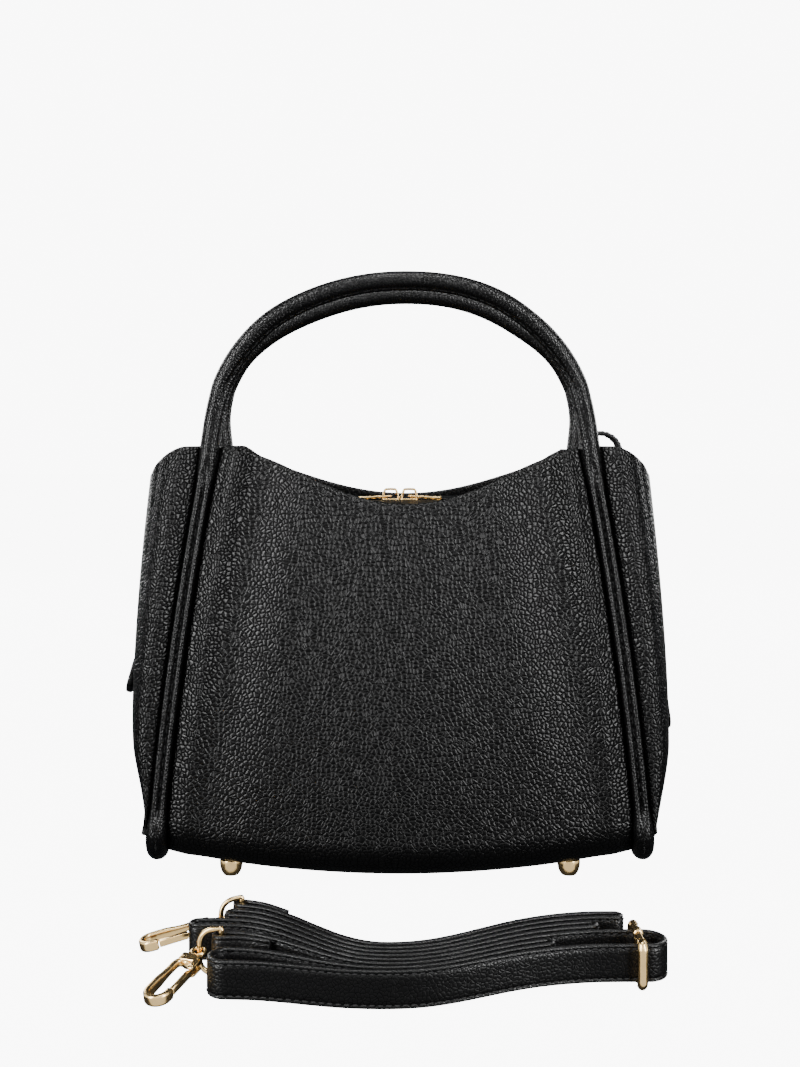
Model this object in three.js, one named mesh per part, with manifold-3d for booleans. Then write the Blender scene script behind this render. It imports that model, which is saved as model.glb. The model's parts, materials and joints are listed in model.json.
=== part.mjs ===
// Mini tote bag in pebbled leather with two rolled handles, a two-way zip, metal feet
// and a detached shoulder strap that lies folded in front of it. Millimetres, +Z up, front is -Y.
import * as THREE from "three";
import { mergeVertices } from "three/addons/utils/BufferGeometryUtils.js";
import Module from "manifold-3d";

// Fits
const GAP = 0.3;
const BASE_EDGE_GAP = 0.8;
const LEATHER = 2;
const BOARD = 1.8;
const LINING = 0.8;

// Bag body
const RIM_HEIGHT = 212;
const FRONT_DIP = 26.5;
const SIDE_DIP = 16;
const SEAM_FOOT_HEIGHT = 12;
const RIM_HALF_WIDTH = 95;
const BASE_HALF_WIDTH = 119;
const RIM_HALF_DEPTH = 35;
const BASE_HALF_DEPTH = 60;
const SIDE_HALF_WIDTH = 136.3;
const SIDE_WIDEST_HEIGHT = 65;
const SIDE_TOP_DRAW = 7.8;
const SIDE_FOOT_DRAW = 11.3;
const SIDE_FOLD = 23;
const SIDE_FOLD_HEIGHT = 96;
const PANEL_BULGE = 6;
const MOUTH_PINCH = 2;
const SOFT_ROLL = 5;
const BASE_HEIGHT = 7;
const BASE_END_LIFT = 8.5;
const BASE_ROLL = 16;

// Handles and the rolled runs that carry them down the seams
const ROLL_RADIUS = 5;
const HANDLE_RISE = 84;
const HANDLE_POWER = 2.15;
const RUN_CORNER = 12;
const RUN_BOW = 4;

// Zip
const ZIP_HEIGHT = 183;
const ZIP_HALF_LENGTH = 88;
const TAPE_HALF_WIDTH = 15;
const TAPE = 0.8;
const TEETH_SLIT = 1;
const TOOTH_PITCH = 3.4;
const TOOTH_LENGTH = 1.6;
const TOOTH_REACH = 2.4;
const TOOTH_HEIGHT = 1.6;
const SLIDER_LENGTH = 9.4;
const SLIDER_FLANGE = 0.9;
const SLIDER_PLATE = 1;
const SLIDER_WEB = 0.4;
const BRIDGE_HEIGHT = 3.6;
const PULL_LENGTH = 17;
const PULL_WIDTH = 4;
const FACING = 1;
const FACING_INNER = 11;
const FACING_DROP = 5;
const TOOTH_SPINE = 0.8;
const TAIL_HALF_WIDTH = 8;
const TAIL = 1.6;
const TAIL_END_HEIGHT_LEFT = 104;
const TAIL_END_HEIGHT_RIGHT = 86;
const TAB_LENGTH = 22;
const TAB = 3.2;
const TAB_LEAN_LEFT = 0.3;
const TAB_LEAN_RIGHT = 0.17;

// Strap loops on the side rims
const LOOP_STRIP = 2.2;
const LOOP_HALF_WIDTH = 5;
const LOOP_RADIUS_RIGHT = 10.2;
const LOOP_RADIUS_LEFT = 6.6;
const LOOP_TOP_RIGHT = 220.5;
const LOOP_TOP_LEFT = 209.5;

// Folded shoulder strap: where its lanes lie at the left end, at the waist and at the right end
const STRAP_WIDTH = 15;
const STRAP = 2.6;
const LANES_LEFT = { x: -70, y: -165, offsets: [31, 25, 19.5, 14, 8, 0, -17, -30] };
const LANES_WAIST = { x: -5, y: -183.4, pitch: 3.9 };
const LANES_RIGHT = { x: 85, y: -161, pitch: 5.1 };
const STRAP_END_LAP = 20;
const RISE_LENGTH = 55;
const TURNS_RIGHT = { back: 90, inner: 78, long: 98, front: 58 };
const TURNS_LEFT = { back: -70, long: -83, front: -67 };
const RINGS = { back: -68, front: -72 };

// Strap hardware
const WIRE_RADIUS = 1.1;
const RING_BOW = 9;
const HOOK_LENGTH = 35;
const HOOK_HALF_WIDTH = 5.6;
const HOOK_RIM = 2.4;
const HOOK_THICK = 3;
const HOOK_HEAD = 4.6;
const POST_RADIUS = 1.2;
const GATE_PIN_RADIUS = 0.7;
const BUCKLE_X = 95;
const BUCKLE_BAR = 3.2;
const BUCKLE_RAIL = 2.2;

// Feet
const FOOT_RADIUS = 5.65;
const FOOT_X = BASE_HALF_WIDTH - 35;
const FOOT_Y = BASE_HALF_DEPTH - 18.5;
const STEM_RADIUS = 1.5;
const WASHER_RADIUS = 6;
const WASHER = 1;

const FACETS = 12;
const wasm = await Module();
wasm.setup();

// Looks
const leather = new THREE.MeshStandardMaterial({ color: 0x161616, roughness: 0.5, metalness: 0 });
const cloth = new THREE.MeshStandardMaterial({ color: 0x1b1a1a, roughness: 0.85, metalness: 0 });
const tape = new THREE.MeshStandardMaterial({ color: 0x121212, roughness: 0.8, metalness: 0 });
const card = new THREE.MeshStandardMaterial({ color: 0x8a7a62, roughness: 0.9, metalness: 0 });
const gold = new THREE.MeshStandardMaterial({ color: 0xd6be91, roughness: 0.22, metalness: 1 });

const product = new THREE.Group();
const vec = (x, y, z) => new THREE.Vector3(x, y, z);
const clamp01 = (t) => Math.min(1, Math.max(0, t));
const smooth = (t) => (1 - Math.cos(Math.PI * clamp01(t))) / 2;
const range = (count, f) => Array.from({ length: count }, (_, i) => f(i, i / (count - 1)));

// Adds one named piece to a group
function piece(name, geometry, material, group = product) {
  const mesh = new THREE.Mesh(geometry, material);
  mesh.name = name;
  group.add(mesh);
  return mesh;
}

// Builds a geometry from points and triangles, and turns it inside out if its faces point inwards
function solid(points, triangles) {
  let volume = 0;
  const normal = new THREE.Vector3();
  for (const [a, b, c] of triangles) {
    volume += normal.crossVectors(points[b], points[c]).dot(points[a]);
  }
  const index = triangles.flatMap(([a, b, c]) => (volume < 0 ? [a, c, b] : [a, b, c]));
  const geometry = new THREE.BufferGeometry().setFromPoints(points);
  geometry.setIndex(index);
  return geometry;
}

// Two triangles for each cell of a grid that starts at an offset in the point list
function gridFaces(rows, columns, start, wrap = false) {
  const faces = [];
  const cells = wrap ? columns : columns - 1;
  for (let r = 0; r + 1 < rows; r++) {
    for (let c = 0; c < cells; c++) {
      const next = (c + 1) % columns;
      const a = start + r * columns + c;
      const b = start + r * columns + next;
      faces.push([a, b, b + columns], [a, b + columns, a + columns]);
    }
  }
  return faces;
}

// The other side of a set of faces, on points shifted along the list
const backFaces = (faces, shift) => faces.map(([a, b, c]) => [a + shift, c + shift, b + shift]);

// Joins two closed edges, given as lists of point numbers
const strip = (edge, other) =>
  edge.flatMap((point, i) => {
    const j = (i + 1) % edge.length;
    return [[point, other[i], other[j]], [point, other[j], edge[j]]];
  });

// The point a given depth behind a grid point, square to the surface
function behind(grid, r, c, depth) {
  const across = grid[r][Math.min(c + 1, grid[r].length - 1)].clone().sub(grid[r][Math.max(c - 1, 0)]);
  const down = grid[Math.min(r + 1, grid.length - 1)][c].clone().sub(grid[Math.max(r - 1, 0)][c]);
  return grid[r][c].clone().addScaledVector(across.cross(down).normalize(), depth);
}

// A sheet of even thickness behind a grid of surface points
function sheet(grid, depth) {
  const rows = grid.length;
  const columns = grid[0].length;
  const count = rows * columns;
  const inner = grid.map((row, r) => row.map((_, c) => behind(grid, r, c, depth)));
  const rim = [
    ...range(columns, (c) => c),
    ...range(rows - 1, (r) => (r + 1) * columns + columns - 1),
    ...range(columns - 1, (c) => count - 2 - c),
    ...range(rows - 2, (r) => (rows - 2 - r) * columns),
  ];
  const front = gridFaces(rows, columns, 0);
  const border = strip(rim, rim.map((i) => i + count));
  return solid([...grid.flat(), ...inner.flat()], [...front, ...backFaces(front, count), ...border]);
}

// A solid through a row of loops, with fans over its two ends unless it closes on itself
function loft(loops, closed = false) {
  const sides = loops[0].length;
  const rows = closed ? [...loops, loops[0]] : loops;
  const points = rows.flat();
  const faces = gridFaces(rows.length, sides, 0, true);
  if (closed) {
    const wrapAt = loops.length * sides;
    const wrapped = faces.map((face) => face.map((i) => i % wrapAt));
    return solid(loops.flat(), wrapped);
  }
  for (const [row, turn] of [[0, 1], [rows.length - 1, -1]]) {
    const middle = rows[row].reduce((sum, p) => sum.add(p), vec(0, 0, 0)).divideScalar(sides);
    const hub = points.push(middle) - 1;
    for (let i = 0; i < sides; i++) {
      const a = row * sides + i;
      const b = row * sides + ((i + 1) % sides);
      faces.push(turn > 0 ? [hub, b, a] : [hub, a, b]);
    }
  }
  return solid(points, faces);
}

// Loops of a section carried along a path; a section is a list of [out, side] offsets
// and "out" is the axis that the section leans on
function sweepLoops(path, section, out) {
  return path.map((p, i) => {
    const ahead = path[Math.min(i + 1, path.length - 1)];
    const along = ahead.clone().sub(path[Math.max(i - 1, 0)]).normalize();
    const side = along.clone().cross(out).normalize();
    const lean = side.clone().cross(along);
    return section(i).map(([a, b]) => p.clone().addScaledVector(lean, a).addScaledVector(side, b));
  });
}

// A round section
const round = (radius, sides) =>
  range(sides, (i) => {
    const angle = (2 * Math.PI * i) / sides;
    return [radius * Math.cos(angle), radius * Math.sin(angle)];
  });

// A turned piece about Z from [radius, height] pairs that start and end on the axis
function turned(profile, sides = FACETS) {
  const geometry = new THREE.LatheGeometry(profile.map(([r, z]) => new THREE.Vector2(r, z)), sides);
  return outward(geometry.rotateX(Math.PI / 2));
}

// A flat outline in XY pushed up from one height to another
function slab(shape, low, high, curveSegments = 6) {
  const options = { depth: high - low, bevelEnabled: false, curveSegments };
  return new THREE.ExtrudeGeometry(shape, options).translate(0, 0, low);
}

// Rebuilds a geometry so that its faces point out
function outward(geometry) {
  const bare = geometry.clone().deleteAttribute("normal").deleteAttribute("uv");
  const merged = mergeVertices(bare, 1e-4);
  const spots = merged.attributes.position;
  const points = range(spots.count, (i) => vec(spots.getX(i), spots.getY(i), spots.getZ(i)));
  const list = merged.index.array;
  const faces = [];
  for (let i = 0; i < list.length; i += 3) {
    if (list[i] !== list[i + 1] && list[i + 1] !== list[i + 2] && list[i] !== list[i + 2]) {
      faces.push([list[i], list[i + 1], list[i + 2]]);
    }
  }
  return solid(points, faces);
}

// A closed geometry as a body for cutting and joining, and back
function body(geometry) {
  const closed = outward(geometry);
  const vertProperties = new Float32Array(closed.attributes.position.array);
  const triVerts = new Uint32Array(closed.index.array);
  return new wasm.Manifold(new wasm.Mesh({ numProp: 3, vertProperties, triVerts }));
}
function fromBody(made) {
  const mesh = made.getMesh();
  const geometry = new THREE.BufferGeometry();
  geometry.setAttribute("position", new THREE.BufferAttribute(new Float32Array(mesh.vertProperties), 3));
  geometry.setIndex(new THREE.BufferAttribute(new Uint32Array(mesh.triVerts), 1));
  return geometry;
}
const cut = (geometry, ...tools) =>
  fromBody(tools.reduce((left, tool) => left.subtract(body(tool)), body(geometry)));
const join = (...geometries) => fromBody(geometries.map(body).reduce((all, next) => all.add(next)));

// Where the handle seam runs at a height, and how far up it that height lies
const upSeam = (z) => clamp01((z - SEAM_FOOT_HEIGHT) / (RIM_HEIGHT - SEAM_FOOT_HEIGHT));
const seamX = (z) => {
  const up = upSeam(z);
  return BASE_HALF_WIDTH - (BASE_HALF_WIDTH - RIM_HALF_WIDTH) * (0.55 * up + 0.45 * up * up);
};
const seamY = (z) => BASE_HALF_DEPTH - (BASE_HALF_DEPTH - RIM_HALF_DEPTH) * upSeam(z) ** 1.2;

// The leather stops this far from the middle of the rolled run
const SEAM_CLEAR = ROLL_RADIUS + GAP;
const panelEdge = (z) => seamX(z) - SEAM_CLEAR;
const sideEdge = (z) => seamX(z) + SEAM_CLEAR;

// The front rim dips at the middle, and the base sags between its ends
const frontRim = (x) => RIM_HEIGHT - (FRONT_DIP * (1 + Math.cos((Math.PI * x) / RIM_HALF_WIDTH))) / 2;
const baseZ = (x) => BASE_HEIGHT + BASE_END_LIFT * (x / BASE_HALF_WIDTH) ** 2;
const baseSlope = (x) => (2 * BASE_END_LIFT * x) / BASE_HALF_WIDTH ** 2;

// Depth of the front face at a share of its width, with a soft roll beside each handle seam
function panelDepth(share, z) {
  const up = upSeam(z);
  const crown = (PANEL_BULGE * (1 - up * up) - MOUTH_PINCH * up * up) * (1 - share * share);
  const roll = SOFT_ROLL * up * Math.sin(Math.PI * clamp01((Math.abs(share) - 0.74) / 0.26)) ** 2;
  return seamY(z) + crown + roll;
}

// Front and back panels: a face that hangs from the rim and rolls under at the base
const FACE_ROWS = 9;
const ROLL_ROWS = 4;
const PANEL_COLUMNS = 19;
function panelPoint(share, row) {
  const rollTop = baseZ(share * panelEdge(BASE_HEIGHT)) + BASE_ROLL;
  if (row < FACE_ROWS) {
    const top = frontRim(share * panelEdge(RIM_HEIGHT));
    const z = top + ((rollTop - top) * row) / (FACE_ROWS - 1);
    return vec(share * panelEdge(z), -panelDepth(share, z), z);
  }
  const turn = ((row - FACE_ROWS + 1) / ROLL_ROWS) * (Math.PI / 2);
  const z = rollTop - BASE_ROLL * Math.sin(turn);
  const y = panelDepth(share, rollTop) - BASE_ROLL * (1 - Math.cos(turn));
  return vec(share * panelEdge(z), -y, z);
}
const panelGrid = range(FACE_ROWS + ROLL_ROWS, (row) =>
  range(PANEL_COLUMNS, (_, t) => panelPoint(2 * t - 1, row)),
);
piece("front_panel", sheet(panelGrid, LEATHER), leather);
piece("back_panel", sheet(panelGrid, LEATHER).rotateZ(Math.PI), leather);

// Side gussets: squared corners that stand at the rim and a fold drawn in between them
const SIDE_COLUMNS = 25;
const SIDE_ROWS = 14;
const SIDE_RIM = RIM_HEIGHT - SIDE_DIP;
function sideX(z) {
  const above = (z - SIDE_WIDEST_HEIGHT) / (RIM_HEIGHT - SIDE_WIDEST_HEIGHT);
  const below = (SIDE_WIDEST_HEIGHT - z) / (SIDE_WIDEST_HEIGHT - SEAM_FOOT_HEIGHT - ROLL_RADIUS);
  return SIDE_HALF_WIDTH - (above > 0 ? SIDE_TOP_DRAW * above ** 2 : SIDE_FOOT_DRAW * below ** 2);
}
function gussetX(y, z) {
  const across = clamp01(Math.abs(y) / seamY(z));
  const square = (1 - across ** 4) ** 0.25;
  const drawn = SIDE_FOLD * smooth((z - SIDE_FOLD_HEIGHT) / (SIDE_RIM - SIDE_FOLD_HEIGHT));
  const fold = drawn * Math.cos((Math.PI / 2) * clamp01(across / 0.75)) ** 2;
  return sideEdge(z) + (sideX(z) - sideEdge(z)) * square - fold;
}
const sideRim = (square) => RIM_HEIGHT - SIDE_DIP * smooth((square - 0.55) / 0.45);
function gussetPoint(share, down) {
  const angle = (Math.PI / 2) * (1 - smooth(1 - Math.abs(share))) * Math.sign(share);
  const across = Math.sqrt(Math.abs(Math.sin(angle)));
  const square = Math.sqrt(Math.cos(angle));
  const corner = RUN_CORNER * 0.67 * clamp01((across - 0.7) / 0.3) ** 2;
  const foot = SEAM_FOOT_HEIGHT + ROLL_RADIUS + 2 * GAP + corner;
  const z = sideRim(square) + (foot - sideRim(square)) * down;
  const roll = SOFT_ROLL * upSeam(z) * Math.sin(Math.PI * clamp01(square / 0.75));
  const y = Math.sign(share) * across * seamY(z);
  return vec(gussetX(y, z), y + Math.sign(share) * roll, z);
}
const gussetGrid = range(SIDE_ROWS, (_, down) =>
  range(SIDE_COLUMNS, (_, t) => gussetPoint(2 * t - 1, down)),
);
piece("gusset_right", sheet(gussetGrid, LEATHER), leather);
piece("gusset_left", sheet(gussetGrid, LEATHER).rotateZ(Math.PI), leather);

// Rolled handle runs, sewn down the front seam, under the side and up the back seam
const RUN_TOP = RIM_HEIGHT - SEAM_CLEAR;
const RUN_BEND = SEAM_FOOT_HEIGHT + RUN_CORNER;
const RUN_FLAT_END = seamY(RUN_BEND) - RUN_CORNER;
const runX = (y) => seamX(SEAM_FOOT_HEIGHT) + RUN_BOW * (1 - (y / RUN_FLAT_END) ** 2);
function runPath() {
  const face = range(12, (_, t) => {
    const z = RUN_TOP + (RUN_BEND - RUN_TOP) * t;
    return vec(seamX(z), -seamY(z), z);
  });
  const bend = range(5, (_, t) => {
    const turn = ((t * 4 + 1) / 5) * (Math.PI / 2);
    const z = RUN_BEND - RUN_CORNER * Math.sin(turn);
    return vec(seamX(z), -RUN_FLAT_END - RUN_CORNER * Math.cos(turn), z);
  });
  const under = range(3, (i) => {
    const y = (RUN_FLAT_END * (i - 3)) / 4;
    return vec(runX(y), y, SEAM_FOOT_HEIGHT);
  });
  const half = [...face, ...bend, ...under];
  const middle = vec(runX(0), 0, SEAM_FOOT_HEIGHT);
  const back = half.map((p) => vec(p.x, -p.y, p.z)).reverse();
  return [...half, middle, ...back];
}
const ROLL_SIDES = 10;
const runSolid = loft(sweepLoops(runPath(), () => round(ROLL_RADIUS, ROLL_SIDES), vec(1, 0, 0)));
piece("handle_run_right", runSolid, leather);
piece("handle_run_left", runSolid.clone().rotateZ(Math.PI), leather);

// Rolled handles, each an arch with ball ends that turn on the rim
function handleSolid() {
  const arch = range(25, (_, t) => {
    const angle = Math.PI * (1 - t);
    const bend = 2 / HANDLE_POWER;
    const x = RIM_HALF_WIDTH * Math.sign(Math.cos(angle)) * Math.abs(Math.cos(angle)) ** bend;
    return vec(x, -RIM_HALF_DEPTH, RIM_HEIGHT + HANDLE_RISE * Math.abs(Math.sin(angle)) ** bend);
  });
  const ball = [80, 60, 40, 20].map((degrees) => (degrees * Math.PI) / 180);
  const legEnd = (x, turn) => vec(x, -RIM_HALF_DEPTH, RIM_HEIGHT - ROLL_RADIUS * Math.sin(turn));
  const path = [
    ...ball.map((turn) => legEnd(-RIM_HALF_WIDTH, turn)),
    ...arch,
    ...ball.toReversed().map((turn) => legEnd(RIM_HALF_WIDTH, turn)),
  ];
  const radii = [
    ...ball.map((turn) => ROLL_RADIUS * Math.cos(turn)),
    ...arch.map(() => ROLL_RADIUS),
    ...ball.toReversed().map((turn) => ROLL_RADIUS * Math.cos(turn)),
  ];
  return loft(sweepLoops(path, (i) => round(radii[i], ROLL_SIDES), vec(0, 1, 0)));
}
piece("handle_front", handleSolid(), leather);
piece("handle_back", handleSolid().rotateZ(Math.PI), leather);

// Feet: a dome on the floor with a stem through base and board to a washer inside
const boardLow = (x) => baseZ(x) + LEATHER + GAP;
const boardTop = (x) => boardLow(x) + BOARD;
const FOOT_TOP = baseZ(FOOT_X - FOOT_RADIUS) - GAP;
const STEM_TOP = boardTop(FOOT_X) + GAP + WASHER + 2 * GAP;
const footProfile = [
  [0, 0],
  [FOOT_RADIUS * 0.5, 0],
  ...range(5, (_, t) => {
    const turn = -0.9 + 1.7 * t;
    return [FOOT_RADIUS * Math.cos(turn), FOOT_TOP * 0.47 + FOOT_TOP * 0.58 * Math.sin(turn)];
  }),
  [FOOT_RADIUS * 0.78, FOOT_TOP],
  [STEM_RADIUS, FOOT_TOP],
  [STEM_RADIUS, STEM_TOP],
  [0, STEM_TOP],
];
const footSpots = [
  ["front_left", -1, -1],
  ["front_right", 1, -1],
  ["back_left", -1, 1],
  ["back_right", 1, 1],
];
const HOLE_RADIUS = STEM_RADIUS + GAP;
const stemHoles = footSpots.map(([, sx, sy]) =>
  turned([[0, 0], [HOLE_RADIUS, 0], [HOLE_RADIUS, STEM_TOP], [0, STEM_TOP]], 10)
    .translate(sx * FOOT_X, sy * FOOT_Y, 0),
);
const washerShape = new THREE.Shape().absarc(0, 0, WASHER_RADIUS, 0, 2 * Math.PI, false);
washerShape.holes.push(new THREE.Path().absarc(0, 0, HOLE_RADIUS + GAP, 0, 2 * Math.PI, true));
for (const [spot, sx, sy] of footSpots) {
  const foot = piece(`foot_${spot}`, turned(footProfile), gold);
  foot.position.set(sx * FOOT_X, sy * FOOT_Y, 0);
  const washer = piece(`foot_washer_${spot}`, slab(washerShape, 0, WASHER, 5), gold);
  washer.position.set(sx * FOOT_X, sy * FOOT_Y, boardTop(FOOT_X) + GAP);
  washer.rotation.y = -Math.atan(baseSlope(sx * FOOT_X));
}

// Base panel between the rolled edges, and the stiff board that lies in it
const BASE_ROWS = 5;
const BASE_COLUMNS = 15;
const baseGrid = range(BASE_ROWS, (_, t) =>
  range(BASE_COLUMNS, (_, s) => {
    const share = 2 * s - 1;
    const rollTop = baseZ(share * panelEdge(BASE_HEIGHT)) + BASE_ROLL;
    const half = panelDepth(share, rollTop) - BASE_ROLL - BASE_EDGE_GAP;
    const y = (2 * t - 1) * half;
    const x = share * (runX(y) - SEAM_CLEAR);
    return vec(x, y, baseZ(x));
  }),
);
piece("base_panel", cut(sheet(baseGrid, LEATHER), ...stemHoles), leather);
const BOARD_HALF_LENGTH = BASE_HALF_WIDTH - 14;
const BOARD_HALF_DEPTH = BASE_HALF_DEPTH - 13;
const boardGrid = range(2, (_, t) =>
  range(BASE_COLUMNS, (_, s) => {
    const share = 2 * s - 1;
    const x = share * BOARD_HALF_LENGTH;
    const y = (2 * t - 1) * BOARD_HALF_DEPTH * (1 - 0.12 * share ** 4);
    return vec(x, y, boardLow(x));
  }),
);
piece("base_board", cut(sheet(boardGrid, BOARD), ...stemHoles), card);

// Lining: a loose cup that stands on the washers, up to just under the zip
const LINING_TOP = ZIP_HEIGHT - 5;
const LINING_FLOOR = LEATHER + BOARD + WASHER + 6 * GAP;
const LINING_SIDES = 28;
const liningHalfWidth = (z) => gussetX(0, z) - LEATHER - 3 * GAP;
const liningHalfDepth = (z) => seamY(z) - SEAM_CLEAR - GAP;
function liningLoop(height, shrink, inset) {
  return range(LINING_SIDES, (i) => {
    const angle = (2 * Math.PI * i) / LINING_SIDES;
    const wide = liningHalfWidth(height) * shrink - inset;
    const deep = liningHalfDepth(height) * shrink - inset;
    const x = wide * Math.sign(Math.cos(angle)) * Math.sqrt(Math.abs(Math.cos(angle)));
    const y = deep * Math.sign(Math.sin(angle)) * Math.sqrt(Math.abs(Math.sin(angle)));
    const floor = baseZ(x) + LINING_FLOOR + inset;
    return vec(x, y, Math.max(height, floor));
  });
}
function liningSolid() {
  const foot = baseZ(BASE_HALF_WIDTH) + LINING_FLOOR;
  const walls = range(6, (_, t) => [LINING_TOP + (foot + 10 - LINING_TOP) * t, 1]);
  const rings = [...walls, [foot + 3, 0.97], [0, 0.9], [0, 0.6], [0, 0.3]];
  const outer = rings.map(([z, shrink]) => liningLoop(z || foot, shrink, 0));
  const inner = rings.map(([z, shrink]) => liningLoop(z || foot, shrink, LINING));
  const settle = (loops, inset) =>
    loops.slice(7).forEach((loop) => loop.forEach((p) => (p.z = baseZ(p.x) + LINING_FLOOR + inset)));
  settle(outer, 0);
  settle(inner, LINING);
  const rows = outer.length;
  const count = rows * LINING_SIDES;
  const points = [...outer.flat(), ...inner.flat()];
  const wall = gridFaces(rows, LINING_SIDES, 0, true);
  const rim = range(LINING_SIDES, (i) => i);
  const faces = [...wall, ...backFaces(wall, count), ...strip(rim, rim.map((i) => i + count))];
  const last = count - LINING_SIDES;
  const outerHub = points.push(vec(0, 0, baseZ(0) + LINING_FLOOR)) - 1;
  const innerHub = points.push(vec(0, 0, baseZ(0) + LINING_FLOOR + LINING)) - 1;
  for (let i = 0; i < LINING_SIDES; i++) {
    const next = (i + 1) % LINING_SIDES;
    faces.push([outerHub, last + i, last + next]);
    faces.push([innerHub, last + count + next, last + count + i]);
  }
  return solid(points, faces);
}
piece("lining", liningSolid(), cloth);

// Zip facings, from under the front and back rims down to the tape
const TAPE_TOP = ZIP_HEIGHT + TAPE / 2;
const FACING_TOP = TAPE_TOP + GAP + FACING;
const FACING_COLUMNS = 17;
const facingGrid = range(4, (_, t) =>
  range(FACING_COLUMNS, (_, s) => {
    const x = (2 * s - 1) * (ZIP_HALF_LENGTH - 3);
    const high = Math.max(frontRim(x) - FACING_DROP, FACING_TOP);
    const nearby = [-0.05, 0, 0.05].map((step) => panelDepth(x / panelEdge(high) + step, high));
    const deep = Math.min(...nearby) - LEATHER - 2 * GAP;
    const z = FACING_TOP + (high - FACING_TOP) * t ** 1.5;
    return vec(x, -FACING_INNER - (deep - FACING_INNER) * t, z);
  }),
);
const facingSolid = sheet(facingGrid, FACING);
piece("zip_facing_front", facingSolid, leather);
piece("zip_facing_back", facingSolid.clone().rotateZ(Math.PI), leather);

// Zip tapes and the two rows of teeth, with a slit between them for the sliders
const TEETH_INNER = TEETH_SLIT / 2;
const TEETH_ROOT = TEETH_INNER + TOOTH_REACH;
const TEETH_OUTER = TEETH_ROOT + TOOTH_SPINE;
const tapeShape = new THREE.Shape();
tapeShape.moveTo(-ZIP_HALF_LENGTH, -TAPE_HALF_WIDTH);
tapeShape.lineTo(ZIP_HALF_LENGTH, -TAPE_HALF_WIDTH);
tapeShape.lineTo(ZIP_HALF_LENGTH, -TEETH_OUTER - GAP);
tapeShape.lineTo(-ZIP_HALF_LENGTH, -TEETH_OUTER - GAP);
const tapeSolid = slab(tapeShape, ZIP_HEIGHT - TAPE / 2, TAPE_TOP);
piece("zip_tape_front", tapeSolid, tape);
piece("zip_tape_back", tapeSolid.clone().rotateZ(Math.PI), tape);
function teethShape() {
  const count = Math.floor((2 * ZIP_HALF_LENGTH) / TOOTH_PITCH);
  const start = (-count * TOOTH_PITCH) / 2;
  const outline = new THREE.Shape();
  outline.moveTo(start, -TEETH_OUTER);
  outline.lineTo(-start, -TEETH_OUTER);
  outline.lineTo(-start, -TEETH_ROOT);
  for (let i = count - 1; i >= 0; i--) {
    const x = start + (i + 0.5) * TOOTH_PITCH;
    outline.lineTo(x + TOOTH_LENGTH / 2, -TEETH_ROOT);
    outline.lineTo(x + TOOTH_LENGTH / 3, -TEETH_INNER);
    outline.lineTo(x - TOOTH_LENGTH / 3, -TEETH_INNER);
    outline.lineTo(x - TOOTH_LENGTH / 2, -TEETH_ROOT);
  }
  outline.lineTo(start, -TEETH_ROOT);
  return outline;
}
const teethSolid = slab(teethShape(), ZIP_HEIGHT - TOOTH_HEIGHT / 2, ZIP_HEIGHT + TOOTH_HEIGHT / 2);
piece("zip_teeth_front", teethSolid, gold);
piece("zip_teeth_back", teethSolid.clone().rotateZ(Math.PI), gold);

// Two sliders, head to head: plates above and below the teeth, flanges round the tape and a bridge
const PLATE_LOW = TOOTH_HEIGHT / 2 + GAP;
const PLATE_HIGH = PLATE_LOW + SLIDER_PLATE;
const FLANGE_INNER = TEETH_OUTER + GAP;
const SLIDER_HALF_WIDTH = FLANGE_INNER + SLIDER_FLANGE;
const FLANGE_TIP = TAPE / 2 + GAP;
const BRIDGE_HALF_LENGTH = SLIDER_LENGTH * 0.4;
const BRIDGE_HALF_WIDTH = 1.2;
const BRIDGE_WIRE = 1;
const box = (low, high) => {
  const size = high.clone().sub(low);
  const middle = high.clone().add(low).multiplyScalar(0.5);
  return new THREE.BoxGeometry(size.x, size.y, size.z).translate(middle.x, middle.y, middle.z);
};
function plateShape() {
  const half = SLIDER_LENGTH / 2;
  const tail = SLIDER_HALF_WIDTH * 0.72;
  const outline = new THREE.Shape();
  outline.moveTo(-half, -SLIDER_HALF_WIDTH * 0.8);
  outline.lineTo(-half + 1.6, -SLIDER_HALF_WIDTH);
  outline.lineTo(half * 0.5, -SLIDER_HALF_WIDTH);
  outline.lineTo(half, -tail);
  outline.lineTo(half, tail);
  outline.lineTo(half * 0.5, SLIDER_HALF_WIDTH);
  outline.lineTo(-half + 1.6, SLIDER_HALF_WIDTH);
  outline.lineTo(-half, SLIDER_HALF_WIDTH * 0.8);
  return outline;
}
function bridgeSolid() {
  const trapezoid = (path, half, low, high) => {
    path.moveTo(-half, low);
    path.lineTo(half, low);
    path.lineTo(half * 0.62, high);
    path.lineTo(-half * 0.62, high);
    return path;
  };
  const top = PLATE_HIGH + BRIDGE_HEIGHT;
  const outline = trapezoid(new THREE.Shape(), BRIDGE_HALF_LENGTH, PLATE_HIGH - GAP, top);
  const inside = trapezoid(new THREE.Path(), BRIDGE_HALF_LENGTH - BRIDGE_WIRE * 1.3, PLATE_HIGH, top - BRIDGE_WIRE);
  outline.holes.push(inside);
  return slab(outline, -BRIDGE_HALF_WIDTH, BRIDGE_HALF_WIDTH).rotateX(Math.PI / 2);
}
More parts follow.
